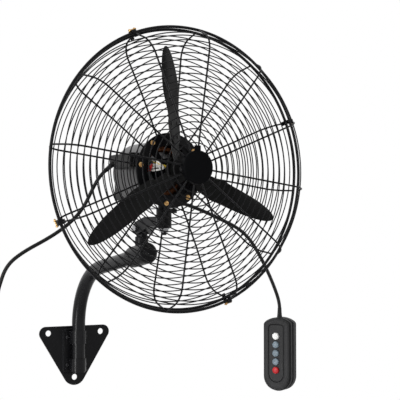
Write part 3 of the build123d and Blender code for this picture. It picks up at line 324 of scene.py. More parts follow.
TUBE_COAT = finish(
    "black_tube_coat", (0.003, 0.003, 0.0035), (0.006, 0.006, 0.007), (0.22, 0.30), 12, 700,
    relief=0.00001, specular=0.15,
)
softened("arm_straps", "strip", 0.0006, "base", "frame_black", TUBE_COAT)


def revolved(radii, heights, sides):
    """Point = (r cos a, r sin a, z) for each step of a profile, with a flat face over each end."""
    turn = np.linspace(0, 2 * pi, sides, endpoint=False)[None, :]
    radii = np.asarray(radii, float)[:, None]
    x = radii * np.cos(turn)
    y = radii * np.sin(turn)
    z = np.broadcast_to(np.asarray(heights, float)[:, None], x.shape)
    points = np.stack([x, y, z], axis=-1).reshape(-1, 3)
    rows = len(radii)
    faces = grid_faces(rows, sides, round_columns=True).tolist()
    faces.append(list(range(sides))[::-1])
    faces.append(list(range((rows - 1) * sides, rows * sides)))
    return points, faces


def pan_screw(head_r, head_tall, shank_r, length, recess=0.35, sides=32):
    """A domed head, z = tall (1 - (r/R)^3 / 3), less a cross where |x| or |y| is small, and a shank."""
    crown = head_r * np.linspace(0.03, 1, 13)
    dome = head_tall * (1 - 0.33 * (crown / head_r) ** 3)
    chamfer = 0.3 * shank_r
    radii = np.concatenate([crown, [head_r, shank_r, shank_r, shank_r - chamfer]])
    heights = np.concatenate([dome, [0, 0, -length + chamfer, -length]])
    points, faces = revolved(radii, heights, sides)
    x, y, z = points.T
    arm = np.minimum(np.abs(x), np.abs(y))
    half_slot = 0.08 * head_r
    slot_reach = 0.42 * head_r
    slot_run_out = 0.16 * head_r
    wide = 1 - np.clip((arm - half_slot) / half_slot, 0, 1)
    long = 1 - np.clip((np.hypot(x, y) - slot_reach) / slot_run_out, 0, 1)
    points[:, 2] = np.where(z > 0, z - recess * head_tall * wide * long, z)
    return points, faces


def closed_piece(name, surfaces, smooth=40):
    """An object of closed surfaces in metres, its faces turned outwards."""
    mesh = mesh_of(name, surfaces)
    shape = bmesh.new()
    shape.from_mesh(mesh)
    bmesh.ops.recalc_face_normals(shape, faces=shape.faces)
    shape.to_mesh(mesh)
    shape.free()
    mesh.shade_smooth()
    mesh.set_sharp_from_angle(angle=radians(smooth))
    return bpy.data.objects.new(name, mesh)


PAD_FACE = 8
STRAP_THICK = 2.2
STRAP_SCREW_X = 21
STRAPS_AT = (-9, -69)

BLACK_OXIDE = finish(
    "black_oxide_steel", (0.010, 0.010, 0.011), (0.022, 0.022, 0.024), (0.25, 0.42), 60, 1500, metallic=0.6
)


def strap_screws():
    """Pan screws that look towards the room: their own z runs along minus y of the wall."""
    points, faces = pan_screw(head_r=4, head_tall=3.5, shank_r=2.5, length=7.2)
    x, y, z = points.T
    seat = PAD_FACE + STRAP_THICK
    for side in (-STRAP_SCREW_X, STRAP_SCREW_X):
        for up in STRAPS_AT:
            yield np.stack([x + side, -z - seat, y + up], axis=-1) / 1000, faces


placed(
    closed_piece("strap_pan_screws", list(strap_screws())),
    "base", "steel", BLACK_OXIDE, "strap_screws",
)


# ---------------------------------------------------------------- arm tube
# One steel tube, bent once from the wall plate out to the fan, open at its foot.
# Its coat is glossier than the plate's, so it carries a long highlight.

softened("arm_tube", "bent", 0, "base", "frame_black", TUBE_COAT, bend=50)


# ---------------------------------------------------------------- elbow casting
# A cast socket on the tube's end with the tongue of the tilt joint.
# The casting has the plate's coat over a slightly rougher skin, and a blackened set screw
# clamps it on the tube.

CAST_COAT = finish(
    "coated_casting", (0.003, 0.003, 0.0035), (0.007, 0.007, 0.008), (0.28, 0.44), 40, 520,
    relief=0.00007, specular=0.11,
)
softened("elbow_casting", "cast", 0.0008, "base", "frame_black", CAST_COAT)
softened("elbow_set_screw", "cut", 0.0003, "base", "steel", BLACK_OXIDE)


# ---------------------------------------------------------------- tilt joint
# The neck bracket grips the tongue between two cheeks, on a bolt with a wing nut.
# Bolt and nut are bright zinc plated steel, and the swivel washer is black nylon.

softened("tilt_bracket", "cast", 0.0009, "tilt", "frame_black", CAST_COAT)

BRIGHT_STEEL = finish(
    "bright_steel", (0.24, 0.24, 0.25), (0.38, 0.38, 0.39), (0.24, 0.40), 90, 2200,
    relief=0.00001, metallic=1,
)
softened("tilt_bolt", "forged", 0.0005, "tilt", "steel", BRIGHT_STEEL)
softened("tilt_wing_nut", "cast", 0.0007, "tilt", "steel", BRIGHT_STEEL)

BLACK_NYLON = finish(
    "black_nylon", (0.005, 0.005, 0.005), (0.009, 0.009, 0.009), (0.42, 0.56), 50, 1400, specular=0.16
)
softened("swivel_washer", "pressed", 0.0003, "tilt", "black_plastic", BLACK_NYLON)


# ---------------------------------------------------------------- swivel post
# A saddle under the motor, cast in one with the post that turns in the bracket.
# It has the castings' black coat, and a bright steel nut keeps the post in the bracket.

softened("swivel_post", "cast", 0.0008, "head", "frame_black", CAST_COAT)
softened("post_nut", "forged", 0.0005, "head", "steel", BRIGHT_STEEL)


# ---------------------------------------------------------------- motor housing
# A drawn steel shell with a domed rear bell and a flat front bell that has four windows.
# The shell and the rear bell have a dark grey satin enamel, and the front bell a black one.

MOTOR_ENAMEL = finish(
    "dark_grey_enamel", (0.020, 0.0195, 0.0205), (0.031, 0.030, 0.0315), (0.26, 0.38), 9, 800,
    specular=0.35,
)
BELL_ENAMEL = finish(
    "black_bell_enamel", (0.002, 0.002, 0.0025), (0.005, 0.005, 0.006), (0.30, 0.44), 14, 650,
    specular=0.07,
)
softened("motor_shell", "drawn", 0.0007, "head", "motor_grey", MOTOR_ENAMEL)
softened("motor_front_bell", "cast", 0.0007, "head", "motor_grey", BELL_ENAMEL)
softened("motor_rear_bell", "pressed", 0.0007, "head", "motor_grey", MOTOR_ENAMEL)
softened("motor_bearings", "ground", 0.0003, "head", "steel", BRIGHT_STEEL)


# ---------------------------------------------------------------- stator and rotor core
# Both cores are stacks of thin steel sheets, which show as fine lines round them.
# The winding is enamelled copper wire, tied into two end turns, with legs in the slots; its colour carries
# painted shade.

# The bands of a wave texture of scale 1 in each metre
WAVES_PER_METRE = 3.2
SHEET_THICK = 0.0006


def laminated(name, dark, light):
    """Bands across the stack, one sheet thick, that sink where two sheets meet."""
    look = finish(name, dark, light, (0.35, 0.5), 120, 1800, metallic=1)
    tree = look.node_tree
    shader = tree.nodes["Principled BSDF"]
    place = tree.nodes.new("ShaderNodeTexCoord")
    bands = set_up(tree.nodes.new("ShaderNodeTexWave"), {
        "Scale": 1 / (SHEET_THICK * WAVES_PER_METRE), "Distortion": 0.2,
    })
    bands.bands_direction = "Y"
    stack = set_up(tree.nodes.new("ShaderNodeBump"), {"Distance": 0.00015})
    wired(
        tree,
        (place, "Object", bands, "Vector"),
        (bands, "Fac", stack, "Height"),
        (stack, "Normal", shader, "Normal"),
    )
    return look


STACKED_SHEET = laminated("stacked_sheet", (0.16, 0.16, 0.165), (0.28, 0.28, 0.29))
softened("stator_core", "stack", 0, "head", "laminations", STACKED_SHEET)
softened("rotor_core", "stack", 0, "rotor", "laminations", STACKED_SHEET)

# The wire's colour is the enamel's own brown, darkened much further by painted shade for the dark inside
# of the motor
SHADE_DARKENED_COPPER = finish(
    "enamelled_copper_with_painted_shade", (0.06, 0.020, 0.010), (0.12, 0.05, 0.024), (0.3, 0.5), 160, 1500, metallic=1
)

HUB_X = 0.0
HUB_Y = -0.478
HUB_Z = 0.333


def from_fan(points):
    """From the fan's frame, z forwards and y up in millimetres, to the row frame in metres."""
    x, y, z = np.moveaxis(np.asarray(points, float), -1, 0)
    return np.stack([x / 1000 + HUB_X, HUB_Y - z / 1000, y / 1000 + HUB_Z], axis=-1)


CORE_FRONT = -85
CORE_BACK = -130
END_TURN = 15
WINDING_INNER_R = 36
WINDING_OUTER_R = 50
LEG_INNER_R = 38
LEG_OUTER_R = 47
LEG_WIDE = 5.2
STATOR_SLOTS = 12
LEG_OVERLAP = 2
CORE_GAP = 0.2
STRAND_RIDGE = 0.045
TIE_DIP = 0.07
TIE_WIDE = 0.06


def end_turn(low, high, stations=240, sides=48):
    """Section = middle + half size (|cos a|^0.6, |sin a|^0.6) with its signs: a rounded square.

    Its size has ridges, cos 12 a, where strands lie, and a dip at each tie round the ring.
    """
    around = np.linspace(0, 2 * pi, stations, endpoint=False)[:, None]
    across = np.linspace(0, 2 * pi, sides, endpoint=False)[None, :]
    half_wide = (WINDING_OUTER_R - WINDING_INNER_R) / 2
    half_tall = (high - low) / 2
    strands = 0.5 + 0.5 * np.cos(12 * across + 2 * np.sin(STATOR_SLOTS * around))
    ridge = 1 - STRAND_RIDGE * strands
    tie = 1 - TIE_DIP * np.exp(-((np.mod(around * STATOR_SLOTS / pi, 1) - 0.5) / TIE_WIDE) ** 2)
    swell = ridge * tie
    c = np.cos(across)
    s = np.sin(across)
    outwards = half_wide * np.sign(c) * np.abs(c) ** 0.6 * swell
    forwards = half_tall * np.sign(s) * np.abs(s) ** 0.6 * swell
    radius = (WINDING_OUTER_R + WINDING_INNER_R) / 2 + outwards
    height = (low + high) / 2 + forwards
    points = np.stack([radius * np.cos(around), radius * np.sin(around), height], axis=-1)
    return from_fan(points.reshape(-1, 3)), grid_faces(stations, sides, True, True).tolist()


def turned_about_fan(points, angle):
    """Turns points about the fan's axis, before they leave the fan's own frame."""
    spin = np.array([[cos(angle), sin(angle), 0], [-sin(angle), cos(angle), 0], [0, 0, 1]])
    return points @ spin


def slot_legs():
    """Straight bundles, each a box from the rear end turn to the front one, a leg in each slot."""
    r = np.array([LEG_INNER_R, LEG_OUTER_R, LEG_OUTER_R, LEG_INNER_R])
    w = np.array([-1, -1, 1, 1]) * LEG_WIDE / 2
    for step in range(STATOR_SLOTS):
        section = turned_about_fan(np.stack([r, w, np.zeros(4)], axis=-1), 2 * pi * step / STATOR_SLOTS)
        rear_end = section + (0, 0, CORE_BACK - LEG_OVERLAP)
        front_end = section + (0, 0, CORE_FRONT + LEG_OVERLAP)
        points = np.concatenate([rear_end, front_end])
        faces = grid_faces(2, 4, round_columns=True).tolist() + [[0, 1, 2, 3], [4, 5, 6, 7]]
        yield from_fan(points), faces


placed(
    closed_piece("stator_wound_coils", [
        end_turn(CORE_FRONT + CORE_GAP, CORE_FRONT + END_TURN),
        end_turn(CORE_BACK - END_TURN, CORE_BACK - CORE_GAP),
        *slot_legs(),
    ]),
    "head", "copper", SHADE_DARKENED_COPPER, "stator_winding",
)


# ---------------------------------------------------------------- motor leads
# Insulated lead wires come out of the winding and bow forwards through the left window.
# They are red, white and yellow, with a thin glossy jacket.


def wire_along(line, side, radius, sides=10, closed=False):
    """Point = line + radius (cos a side + sin a (way x side)), with flat ends if it is open."""
    if closed:
        way = np.roll(line, -1, axis=0) - np.roll(line, 1, axis=0)
    else:
        way = np.gradient(line, axis=0)
    way /= np.linalg.norm(way, axis=1, keepdims=True)
    third = np.cross(way, side)
    turn = np.linspace(0, 2 * pi, sides, endpoint=False)[None, :, None]
    points = line[:, None] + radius * (np.cos(turn) * side[:, None] + np.sin(turn) * third[:, None])
    rows = len(line)
    faces = grid_faces(rows, sides, round_rows=closed, round_columns=True).tolist()
    if not closed:
        faces.append(list(range(sides))[::-1])
        faces.append(list(range((rows - 1) * sides, rows * sides)))
    return points.reshape(-1, 3), faces


LEAD_R = 1.5
LEAD_FOOT_Z = CORE_FRONT + END_TURN - 2
# Each bight: its middle angle, its feet's distance from the axis, and how far it goes inwards,
# forwards and, in degrees, to each side
LEAD_LOOPS = (
    ("red", ((177, 38, 1, 22, 5), (171, 40, 2, 23, 4)), (0.42, 0.012, 0.012), (0.60, 0.02, 0.02)),
    ("white", (
        (156, 37, 18, 33, 10), (163, 38, 23, 30, 13), (168, 36, 13, 28, 15), (172, 37, 20, 32, 8),
        (160, 39, 9, 26, 12),
    ), (0.56, 0.55, 0.52), (0.72, 0.71, 0.68)),
    ("yellow", ((158, 36, 21, 34, 7), ), (0.55, 0.36, 0.02), (0.72, 0.50, 0.04)),
)
LEAD_SWAY = 7


def lead_loop(angle, foot_r, inward, rise, spread):
    """A bight: r = foot - inward sin^2 t, z = foot + rise sqrt(sin t), angle = middle - spread cos t.

    A small sway, sin (2 t + middle), makes neighbouring wires lie across each other.
    """
    t = np.linspace(0, pi, 41)
    r = foot_r - inward * np.sin(t) ** 2
    turn = np.radians(angle - spread * np.cos(t) + LEAD_SWAY * np.sin(2 * t + angle) * np.sin(t))
    z = LEAD_FOOT_Z + rise * np.sqrt(np.sin(t))
    line = from_fan(np.stack([r * np.cos(turn), r * np.sin(turn), z], axis=-1))
    way = np.gradient(line, axis=0)
    side = np.cross(way, (0.0, 0.3, 1.0))
    return line, side / np.linalg.norm(side, axis=1, keepdims=True)


for colour, loops, dark, light in LEAD_LOOPS:
    jacket = finish(f"{colour}_lead_jacket", dark, light, (0.25, 0.35), 200, 1500)
    wires = [wire_along(*lead_loop(*bight), LEAD_R / 1000, 12) for bight in loops]
    placed(
        closed_piece(f"motor_leads_{colour}", wires), "head", "lead_wires", jacket, "motor_leads"
    )


# ---------------------------------------------------------------- terminal box and gland
# A small black box on the motor's left flank, cut square to the mains lead.
# The lead leaves it through a tapered rubber gland.

softened("terminal_box", "moulded", 0.0008, "head", "black_plastic", BLACK_NYLON)

CORD_RUBBER = finish(
    "cord_rubber", (0.004, 0.004, 0.004), (0.008, 0.008, 0.008), (0.36, 0.52), 70, 1100,
    relief=0.00005, specular=0.2,
)
softened("mains_gland", "moulded", 0.0004, "head", "cord_rubber", CORD_RUBBER)


# ---------------------------------------------------------------- swing drive
# Behind the motor a synchronous motor in a black housing turns a small crank.
# A flat steel link joins the crank's pin to the stud on the tilt bracket.

softened("drive_housing", "moulded", 0.0009, "head", "black_plastic", BLACK_NYLON)
softened("drive_motor", "drawn", 0.0005, "head", "steel", BRIGHT_STEEL)
softened("drive_crank", "pressed", 0.0004, "crank", "steel", BRIGHT_STEEL)
softened("drive_link", "stamped", 0.0003, "link", "steel", BRIGHT_STEEL)


# ---------------------------------------------------------------- guards
# Each guard is a dish of twelve radial wires with thin hoops welded inside them,
# and a thick rim wire. The wire is dipped in glossy black.

RIM_WIRE_R = 2.77
RIB_WIRE_R = 1.65
HOOP_WIRE_R = 1.1
WELD = 0.35
RIBS = 12
RIB_PHASE = 22.5
HOOP_PITCH = 12.5
FRONT_RIM_R = 262
REAR_RIM_R = 258
REAR_RIM_AT = -9
FRONT_DEPTH = 50
REAR_DEPTH = 57
BELL_FACE = -48
PLATE_SEAT = BELL_FACE - RIB_WIRE_R
CAP_END_R = 22
PLATE_END_R = 67.2
SHOULDER_R = 150
FRONT_LINE = ((FRONT_RIM_R, 0), (FRONT_RIM_R - 21.4, FRONT_DEPTH), (CAP_END_R, FRONT_DEPTH))
REAR_LINE = (
    (REAR_RIM_R, REAR_RIM_AT), (REAR_RIM_R - 15, -REAR_DEPTH), (SHOULDER_R, PLATE_SEAT),
    (PLATE_END_R, PLATE_SEAT),
)
WIRE_STEP = 5

GUARD_COAT = finish(
    "black_dipped_wire", (0.003, 0.003, 0.0035), (0.006, 0.006, 0.007), (0.24, 0.36), 30, 600,
    specular=0.11,
)


def bent_line(corners, radii):
    """Straight runs with a round bend at each inner corner, as distances from the axis and heights.

    A bend's point = centre + (first sin ((1 - s) t) + last sin (s t)) / sin t, with s from 0 to 1.
    """
    corners = np.asarray(corners, float)
    pieces = [corners[:1]]
    for before, here, after, radius in zip(corners, corners[1:], corners[2:], radii):
        come = (here - before) / np.linalg.norm(here - before)
        go = (after - here) / np.linalg.norm(after - here)
        turn = np.arccos(np.clip(come @ go, -1, 1))
        reach = radius * tan(turn / 2)
        inward = (go - come) / np.linalg.norm(go - come)
        centre = here + inward * radius / cos(turn / 2)
        first = here - come * reach - centre
        share = np.linspace(0, 1, 17)[:, None]
        last = here + go * reach - centre
        arc = first * np.sin((1 - share) * turn) + last * np.sin(share * turn)
        pieces.append(centre + arc / np.sin(turn))
    pieces.append(corners[-1:])
    return np.concatenate(pieces)


def distances(line):
    """How far along the line each of its points lies: the running sum of its steps."""
    return np.concatenate([[0], np.cumsum(np.linalg.norm(np.diff(line, axis=0), axis=1))])


def points_at(line, along, places):
    """The points of the line that lie at the given distances along it."""
    return np.stack([np.interp(places, along, line[:, axis]) for axis in (0, 1)], axis=-1)


def hoop(radius, height, wire, around=144, sides=8):
    """A round wire about the axis: a circle of the hoop carrying a circle of the wire."""
    turn = np.linspace(0, 2 * pi, around, endpoint=False)
    level = np.zeros_like(turn)
    line = np.stack([radius * np.cos(turn), radius * np.sin(turn), level + height], axis=-1)
    side = np.stack([np.cos(turn), np.sin(turn), level], axis=-1)
    points, faces = wire_along(line, side, wire, sides, closed=True)
    return from_fan(points), faces


def guard(node, corners, bends, inwards, first, count, rim_r, rim_z):
    """Radial wires along the bent line, hoops at an even pitch on their inner side, and the rim."""
    line = bent_line(corners, bends)
    along = distances(line)
    even = points_at(line, along, np.linspace(0, along[-1], int(along[-1] / WIRE_STEP)))
    flat = np.zeros(len(even))
    across = np.stack([flat, flat + 1, flat], axis=-1)
    rib = wire_along(np.stack([even[:, 0], flat, even[:, 1]], axis=-1), across, RIB_WIRE_R, 12)
    surfaces = []
    for step in range(RIBS):
        angle = radians(RIB_PHASE + 360 / RIBS * step)
        surfaces.append((from_fan(turned_about_fan(rib[0], angle)), rib[1]))
    for step in range(count):
        place = along[-1] - first - step * HOOP_PITCH
        at = points_at(line, along, place)
        near = points_at(line, along, place + 0.5)
        way = (near - at) / np.linalg.norm(near - at)
        offset = RIB_WIRE_R + HOOP_WIRE_R - WELD
        at = at + np.array([-way[1], way[0]]) * inwards * offset
        surfaces.append(hoop(at[0], at[1], HOOP_WIRE_R))
    surfaces.append(hoop(rim_r, rim_z, RIM_WIRE_R, around=192, sides=16))
    placed(closed_piece(f"{node}_wires", surfaces, 60), "head", "guard_black", GUARD_COAT, node)


guard(
    "front_guard", FRONT_LINE, bends=(38,), inwards=1, first=23, count=18,
    rim_r=FRONT_RIM_R, rim_z=0,
)
guard(
    "rear_guard", REAR_LINE, bends=(32, 150), inwards=-1, first=9.8, count=16,
    rim_r=REAR_RIM_R, rim_z=REAR_RIM_AT,
)

softened("rear_guard_plate", "stamped", 0.0005, "head", "guard_black", GUARD_COAT)


# ---------------------------------------------------------------- guard screws and rim clamps
# Eight brass-coloured pan screws hold the guard plate on the motor's front bell.
# Four folded black saddles, each with a small bolt and nut, hold the two rim wires together.

YELLOW_ZINC = finish(
    "yellow_passivated_zinc", (0.36, 0.17, 0.06), (0.66, 0.46, 0.20), (0.20, 0.36), 260, 2600,
    relief=0.00001, metallic=1,
)

GUARD_PLATE_THICK = 2
GUARD_SCREW_R = 62.7
GUARD_SCREWS = 8
GUARD_SCREW_PHASE = 37


def guard_screws():
    """Pan screws on the guard plate, at even steps about the fan's axis."""
    points, faces = pan_screw(head_r=4.7, head_tall=3, shank_r=2, length=7)
    seated = points + (GUARD_SCREW_R, 0, BELL_FACE + GUARD_PLATE_THICK)
    for step in range(GUARD_SCREWS):
        angle = radians(GUARD_SCREW_PHASE + 360 / GUARD_SCREWS * step)
        yield from_fan(turned_about_fan(seated, angle)), faces


placed(
    closed_piece("guard_pan_screws", list(guard_screws())),
    "head", "yellow_zinc", YELLOW_ZINC, "guard_plate_screws",
)

CLAMP_PHASE = 22.5
CLAMP_WIDE = 8
CLAMP_WALL = 1.2
CLAMP_BOLT_R = 268.2
CLAMP_BOLT_AT = -4.5
CLAMP_HEAD_R = 2.8
CLAMP_BOLT_LONG = 13
CLAMP_NUT_TALL = 2.8
CLAMP_EDGE = 0.4
CLAMP_EDGE_SIZE = 0.991
# The outside of a clamp's fold, as distances from the axis and heights
CLAMP_FOLD = (
    (254.0, 4.6), (265.5, 4.6), (268.2, 2.6), (268.2, -8.5), (264.5, -13.6), (250.5, -13.6),
)


def rim_saddle(angle):
    """A strip folded round both rim wires: its section is a loop, carried straight across the rims.

    The loop's inner line is the fold moved one wall towards its middle, and the ends are smaller.
    """
    outer = np.array(CLAMP_FOLD)
    middle = outer.mean(axis=0)
    way = (middle - outer) / np.linalg.norm(middle - outer, axis=1, keepdims=True)
    inner = outer + way * CLAMP_WALL
    loop = np.concatenate([outer, inner[::-1]])
    half = CLAMP_WIDE / 2
    rows = []
    for across, size in (
        (-half, CLAMP_EDGE_SIZE), (CLAMP_EDGE - half, 1), (half - CLAMP_EDGE, 1), (half, CLAMP_EDGE_SIZE),
    ):
        section = middle + (loop - middle) * size
        rows.append(np.stack([section[:, 0], np.full(len(loop), across), section[:, 1]], axis=-1))
    points = turned_about_fan(np.concatenate(rows), radians(angle))
    last = len(loop) - 1
    wall = [[k, k + 1, last - 1 - k, last - k] for k in range(len(outer) - 1)]
    faces = grid_faces(len(rows), len(loop), round_columns=True).tolist()
    for first in (0, len(points) - len(loop)):
        faces += [[first + v for v in quad] for quad in wall]
    return from_fan(points), faces


def clamp_bolt(angle):
    """A pan screw and its nut, lying along the rim just outside it."""
    screw = pan_screw(CLAMP_HEAD_R, head_tall=2.6, shank_r=1.6, length=CLAMP_BOLT_LONG)
    for points, faces in (screw, clamp_nut()):
        x, y, z = points.T
        lying = np.stack([x + CLAMP_BOLT_R, z + CLAMP_WIDE / 2, y + CLAMP_BOLT_AT], axis=-1)
        yield from_fan(turned_about_fan(lying, radians(angle))), faces


def clamp_nut():
    """A hexagon nut with its corners turned off, on the far end of the bolt."""
    turn = np.radians(60 * np.arange(6))
    flat = np.zeros(6)
    ring = np.stack([np.cos(turn), np.sin(turn), flat], axis=-1) * CLAMP_HEAD_R
    scale = np.array([[0.9], [1], [1], [0.9]])[:, :, None]
    heights = np.array([0, CLAMP_EDGE, CLAMP_NUT_TALL - CLAMP_EDGE, CLAMP_NUT_TALL])
    level = heights[:, None, None] * np.array([0, 0, 1])
    points = (ring[None] * scale + level).reshape(-1, 3) - (0, 0, CLAMP_WIDE + CLAMP_NUT_TALL)
    ends = [list(range(6)), list(range(18, 24))]
    return points, grid_faces(4, 6, round_columns=True).tolist() + ends


clamp_angles = [CLAMP_PHASE + 90 * step for step in range(4)]
placed(
    closed_piece("rim_clamps_folded", [rim_saddle(angle) for angle in clamp_angles], 30),
    "head", "guard_black", GUARD_COAT, "rim_clamps",
)
placed(
    closed_piece("clamp_bolts_and_nuts", [
        surface for angle in clamp_angles for surface in clamp_bolt(angle)
    ]),
    "head", "yellow_zinc", YELLOW_ZINC, "clamp_screws",
)


# ---------------------------------------------------------------- cap
# A round cap of matt black plastic lies over the inner ends of the front wires.
# A steel back plate behind the wires and one screw hold it.

CAP_PLASTIC = finish(
    "matt_black_cap", (0.0012, 0.0013, 0.0017), (0.0022, 0.0023, 0.0028), (0.5, 0.64), 35, 1300,
    relief=0.00004, specular=0.03,
)
softened("front_cap", "moulded", 0.0006, "head", "black_plastic", CAP_PLASTIC)
softened("cap_back_plate", "stamped", 0.0004, "head", "steel", BLACK_OXIDE)
softened("cap_screw", "turned", 0.0003, "head", "yellow_zinc", YELLOW_ZINC)


# ---------------------------------------------------------------- shaft and fan
# The shaft carries a turned hub with three arm plates, and a pressed blade on each.
# Hub, arms and blades are satin black, and the rivets have flattened heads.

softened("rotor_shaft", "ground", 0.0003, "rotor", "steel", BRIGHT_STEEL)

BLADE_COAT = finish(
    "satin_black_blade", (0.003, 0.003, 0.003), (0.006, 0.006, 0.006), (0.28, 0.38), 8, 900,
    specular=0.11,
)
HUB_R = 17
HUB_BACK = -33
HUB_FRONT = -1
FLANGE_R = 25
SHAFT_R = 6
ARM_END_R = 97
ARM_THICK = 3
TIP_R = 228.6
BLADE_PLANE = -13
BLADE_PHASE = 97
BLADE_THICK = 1.8
BLADE_ROOT_R = 46
BLADE_WIDE = 48
BLADE_OUTER_WIDE = 40
BLADE_NARROWING = 0.26
BLADE_TAPER = 22
BLADE_TRIM = 4
BLADE_TRIM_R = 135
BLADE_TRIM_LONG = 60
BLADE_ROOT_CUT = 2
BLADE_ROOT_ROUND = 14
TIP_ROUND_R = 158
BLADE_BOW = 2.6
BLADE_SWEEP = 2.2
ROOT_PITCH = 36
TIP_PITCH = 13
UNTWIST_R = 158


def blade_pitch(r):
    """Constant on the arm, then down to the outer pitch as the smooth step s s (3 - 2 s)."""
    share = np.clip((r - ARM_END_R) / (UNTWIST_R - ARM_END_R), 0, 1)
    return np.radians(ROOT_PITCH + (TIP_PITCH - ROOT_PITCH) * share * share * (3 - 2 * share))


def pitched(r, y, z):
    """Turns a point of the flat blade about its middle line, and puts it in the blade plane."""
    pitch = blade_pitch(r)
    up = y * np.cos(pitch) - z * np.sin(pitch)
    ahead = y * np.sin(pitch) + z * np.cos(pitch) + BLADE_PLANE
    return np.stack(np.broadcast_arrays(r, up, ahead), axis=-1)


def closed_strip(points, turn):
    """Faces for stations of closed loops, with a face over the first and the last loop."""
    stations, sides = points.shape[:2]
    faces = grid_faces(stations, sides, round_columns=True).tolist()
    faces += [list(range(sides)), list(range((stations - 1) * sides, stations * sides))]
    return from_fan(turned_about_fan(points.reshape(-1, 3), radians(turn))), faces


def blade(turn):
    """y = middle + half chord (cos a)^0.8 and z = bow + half thickness (sin a)^0.35, then pitched.

    The chord grows in a straight line to the arm's end and falls off beyond it as e^-x, less an even
    trim further out. It rounds off at the root as a power, and closes as an ellipse at the tip.
    """
    share = np.linspace(0, 1, 100)[:, None]
    r = BLADE_ROOT_R + (TIP_R - BLADE_ROOT_R) * np.sin(share * pi / 2)
    falling = (BLADE_WIDE - BLADE_OUTER_WIDE) * np.exp((ARM_END_R - r) / BLADE_TAPER)
    growing = BLADE_WIDE - BLADE_NARROWING * (ARM_END_R - r)
    wide = np.where(r < ARM_END_R, growing, BLADE_OUTER_WIDE + falling)
    wide = wide - BLADE_TRIM * np.clip((r - BLADE_TRIM_R) / BLADE_TRIM_LONG, 0, 1)
    tip = np.sqrt(1 - np.clip((r - TIP_ROUND_R) / (TIP_R + 0.05 - TIP_ROUND_R), 0, 1) ** 2)
    root = np.clip((r - BLADE_ROOT_R + BLADE_ROOT_CUT) / BLADE_ROOT_ROUND, 0, 1) ** 0.4
    beyond = np.clip((r - ARM_END_R) / (TIP_R - ARM_END_R), 0, 1)
    a = np.linspace(0, 2 * pi, 40, endpoint=False)[None, :]
    u = np.cos(a)
    y = -BLADE_SWEEP * (1 - beyond) + wide * tip * root / 2 * np.sign(u) * np.abs(u) ** 0.8
    bow = BLADE_BOW * np.sin(pi * beyond) * (1 - u * u)
    z = bow + BLADE_THICK / 2 * np.sign(np.sin(a)) * np.abs(np.sin(a)) ** 0.35
    return closed_strip(pitched(r, y, z), turn)


def arm_plate(turn):
    """A flat plate behind the blade's root: a chamfered box section that widens outwards.

    Its two long edges are lines through low and high, and its outer corners are clipped.
    """
    r = np.array([12, 22, 36, 84, 91, ARM_END_R])[:, None]
    low = np.array([-10, -12, -14, -17, -16, -12])[:, None]
    high = np.array([10, 12, 15, 18, 17, 13])[:, None]
    edge = 0.5
    y = np.concatenate([low, low, low + edge, high - edge, high, high, high - edge, low + edge], axis=1)
    back = -BLADE_THICK / 2 - ARM_THICK
    front = -BLADE_THICK / 2
    z = np.array([[back + edge, front - edge, front, front, front - edge, back + edge, back, back]])
    return closed_strip(pitched(r, y, z), turn)


HUB_CHAMFER = 0.8
FLANGE_AT = BLADE_PLANE - 4
FLANGE_HALF = 2
FLANGE_EDGE_R = FLANGE_R - 0.6


def fan_hub():
    """The hub's profile turned about the axis: a barrel, a thin flange and the bore's edge."""
    profile = np.array([
        (SHAFT_R, HUB_BACK), (HUB_R - HUB_CHAMFER, HUB_BACK), (HUB_R, HUB_BACK + HUB_CHAMFER),
        (HUB_R, FLANGE_AT - FLANGE_HALF), (FLANGE_EDGE_R, FLANGE_AT - FLANGE_HALF),
        (FLANGE_R, FLANGE_AT),
        (FLANGE_EDGE_R, FLANGE_AT + FLANGE_HALF), (HUB_R, FLANGE_AT + FLANGE_HALF),
        (HUB_R, HUB_FRONT - HUB_CHAMFER), (HUB_R - HUB_CHAMFER, HUB_FRONT), (SHAFT_R, HUB_FRONT),
    ])
    points, faces = revolved(*profile.T, 72)
    return from_fan(points), faces


blade_turns = [BLADE_PHASE + 120 * step for step in range(3)]
placed(
    closed_piece("fan_spider_welded", [fan_hub(), *[arm_plate(turn) for turn in blade_turns]], 30),
    "rotor", "blade_black", BLADE_COAT, "fan_spider",
)
for number, turn in enumerate(blade_turns, 1):
    placed(
        closed_piece(f"blade_{number}_pressed", [blade(turn)], 50),
        "rotor", "blade_black", BLADE_COAT, f"blade_{number}",
    )
softened("spider_set_screw", "cut", 0.0003, "rotor", "steel", BRIGHT_STEEL)

RIVETS_AT = ((60, -8), (60, 8), (85, -12), (85, 12))


def rivet(r, y, turn):
    """A low dome on the blade and a flat foot behind the arm, square to the blade's root."""
    top = BLADE_THICK / 2
    foot = -top - ARM_THICK
    profile = np.array([
        (0.2, top + 1.3), (2, top + 1.1), (3.4, top + 0.6), (4, top), (2, top - 0.2),
        (2, foot), (3.6, foot), (3.6, foot - 0.9), (0.2, foot - 0.9),
    ])
    points, faces = revolved(*profile.T, 24)
    x, across, z = points.T
    set_at = pitched(np.array(0.0), across + y, z)
    set_at[:, 0] = x + r
    return from_fan(turned_about_fan(set_at, radians(turn))), faces


placed(
    closed_piece("blade_rivets_set", [
        rivet(r, y, turn) for turn in blade_turns for r, y in RIVETS_AT
    ]),
    "rotor", "blade_black", BLADE_COAT, "blade_rivets",
)


# ---------------------------------------------------------------- mains lead
# A round rubber lead leaves the terminal box, falls, and goes out to the left.
# The rest of its length is wound there into a round coil of six turns that a rubber band ties,
# with the moulded plug below.

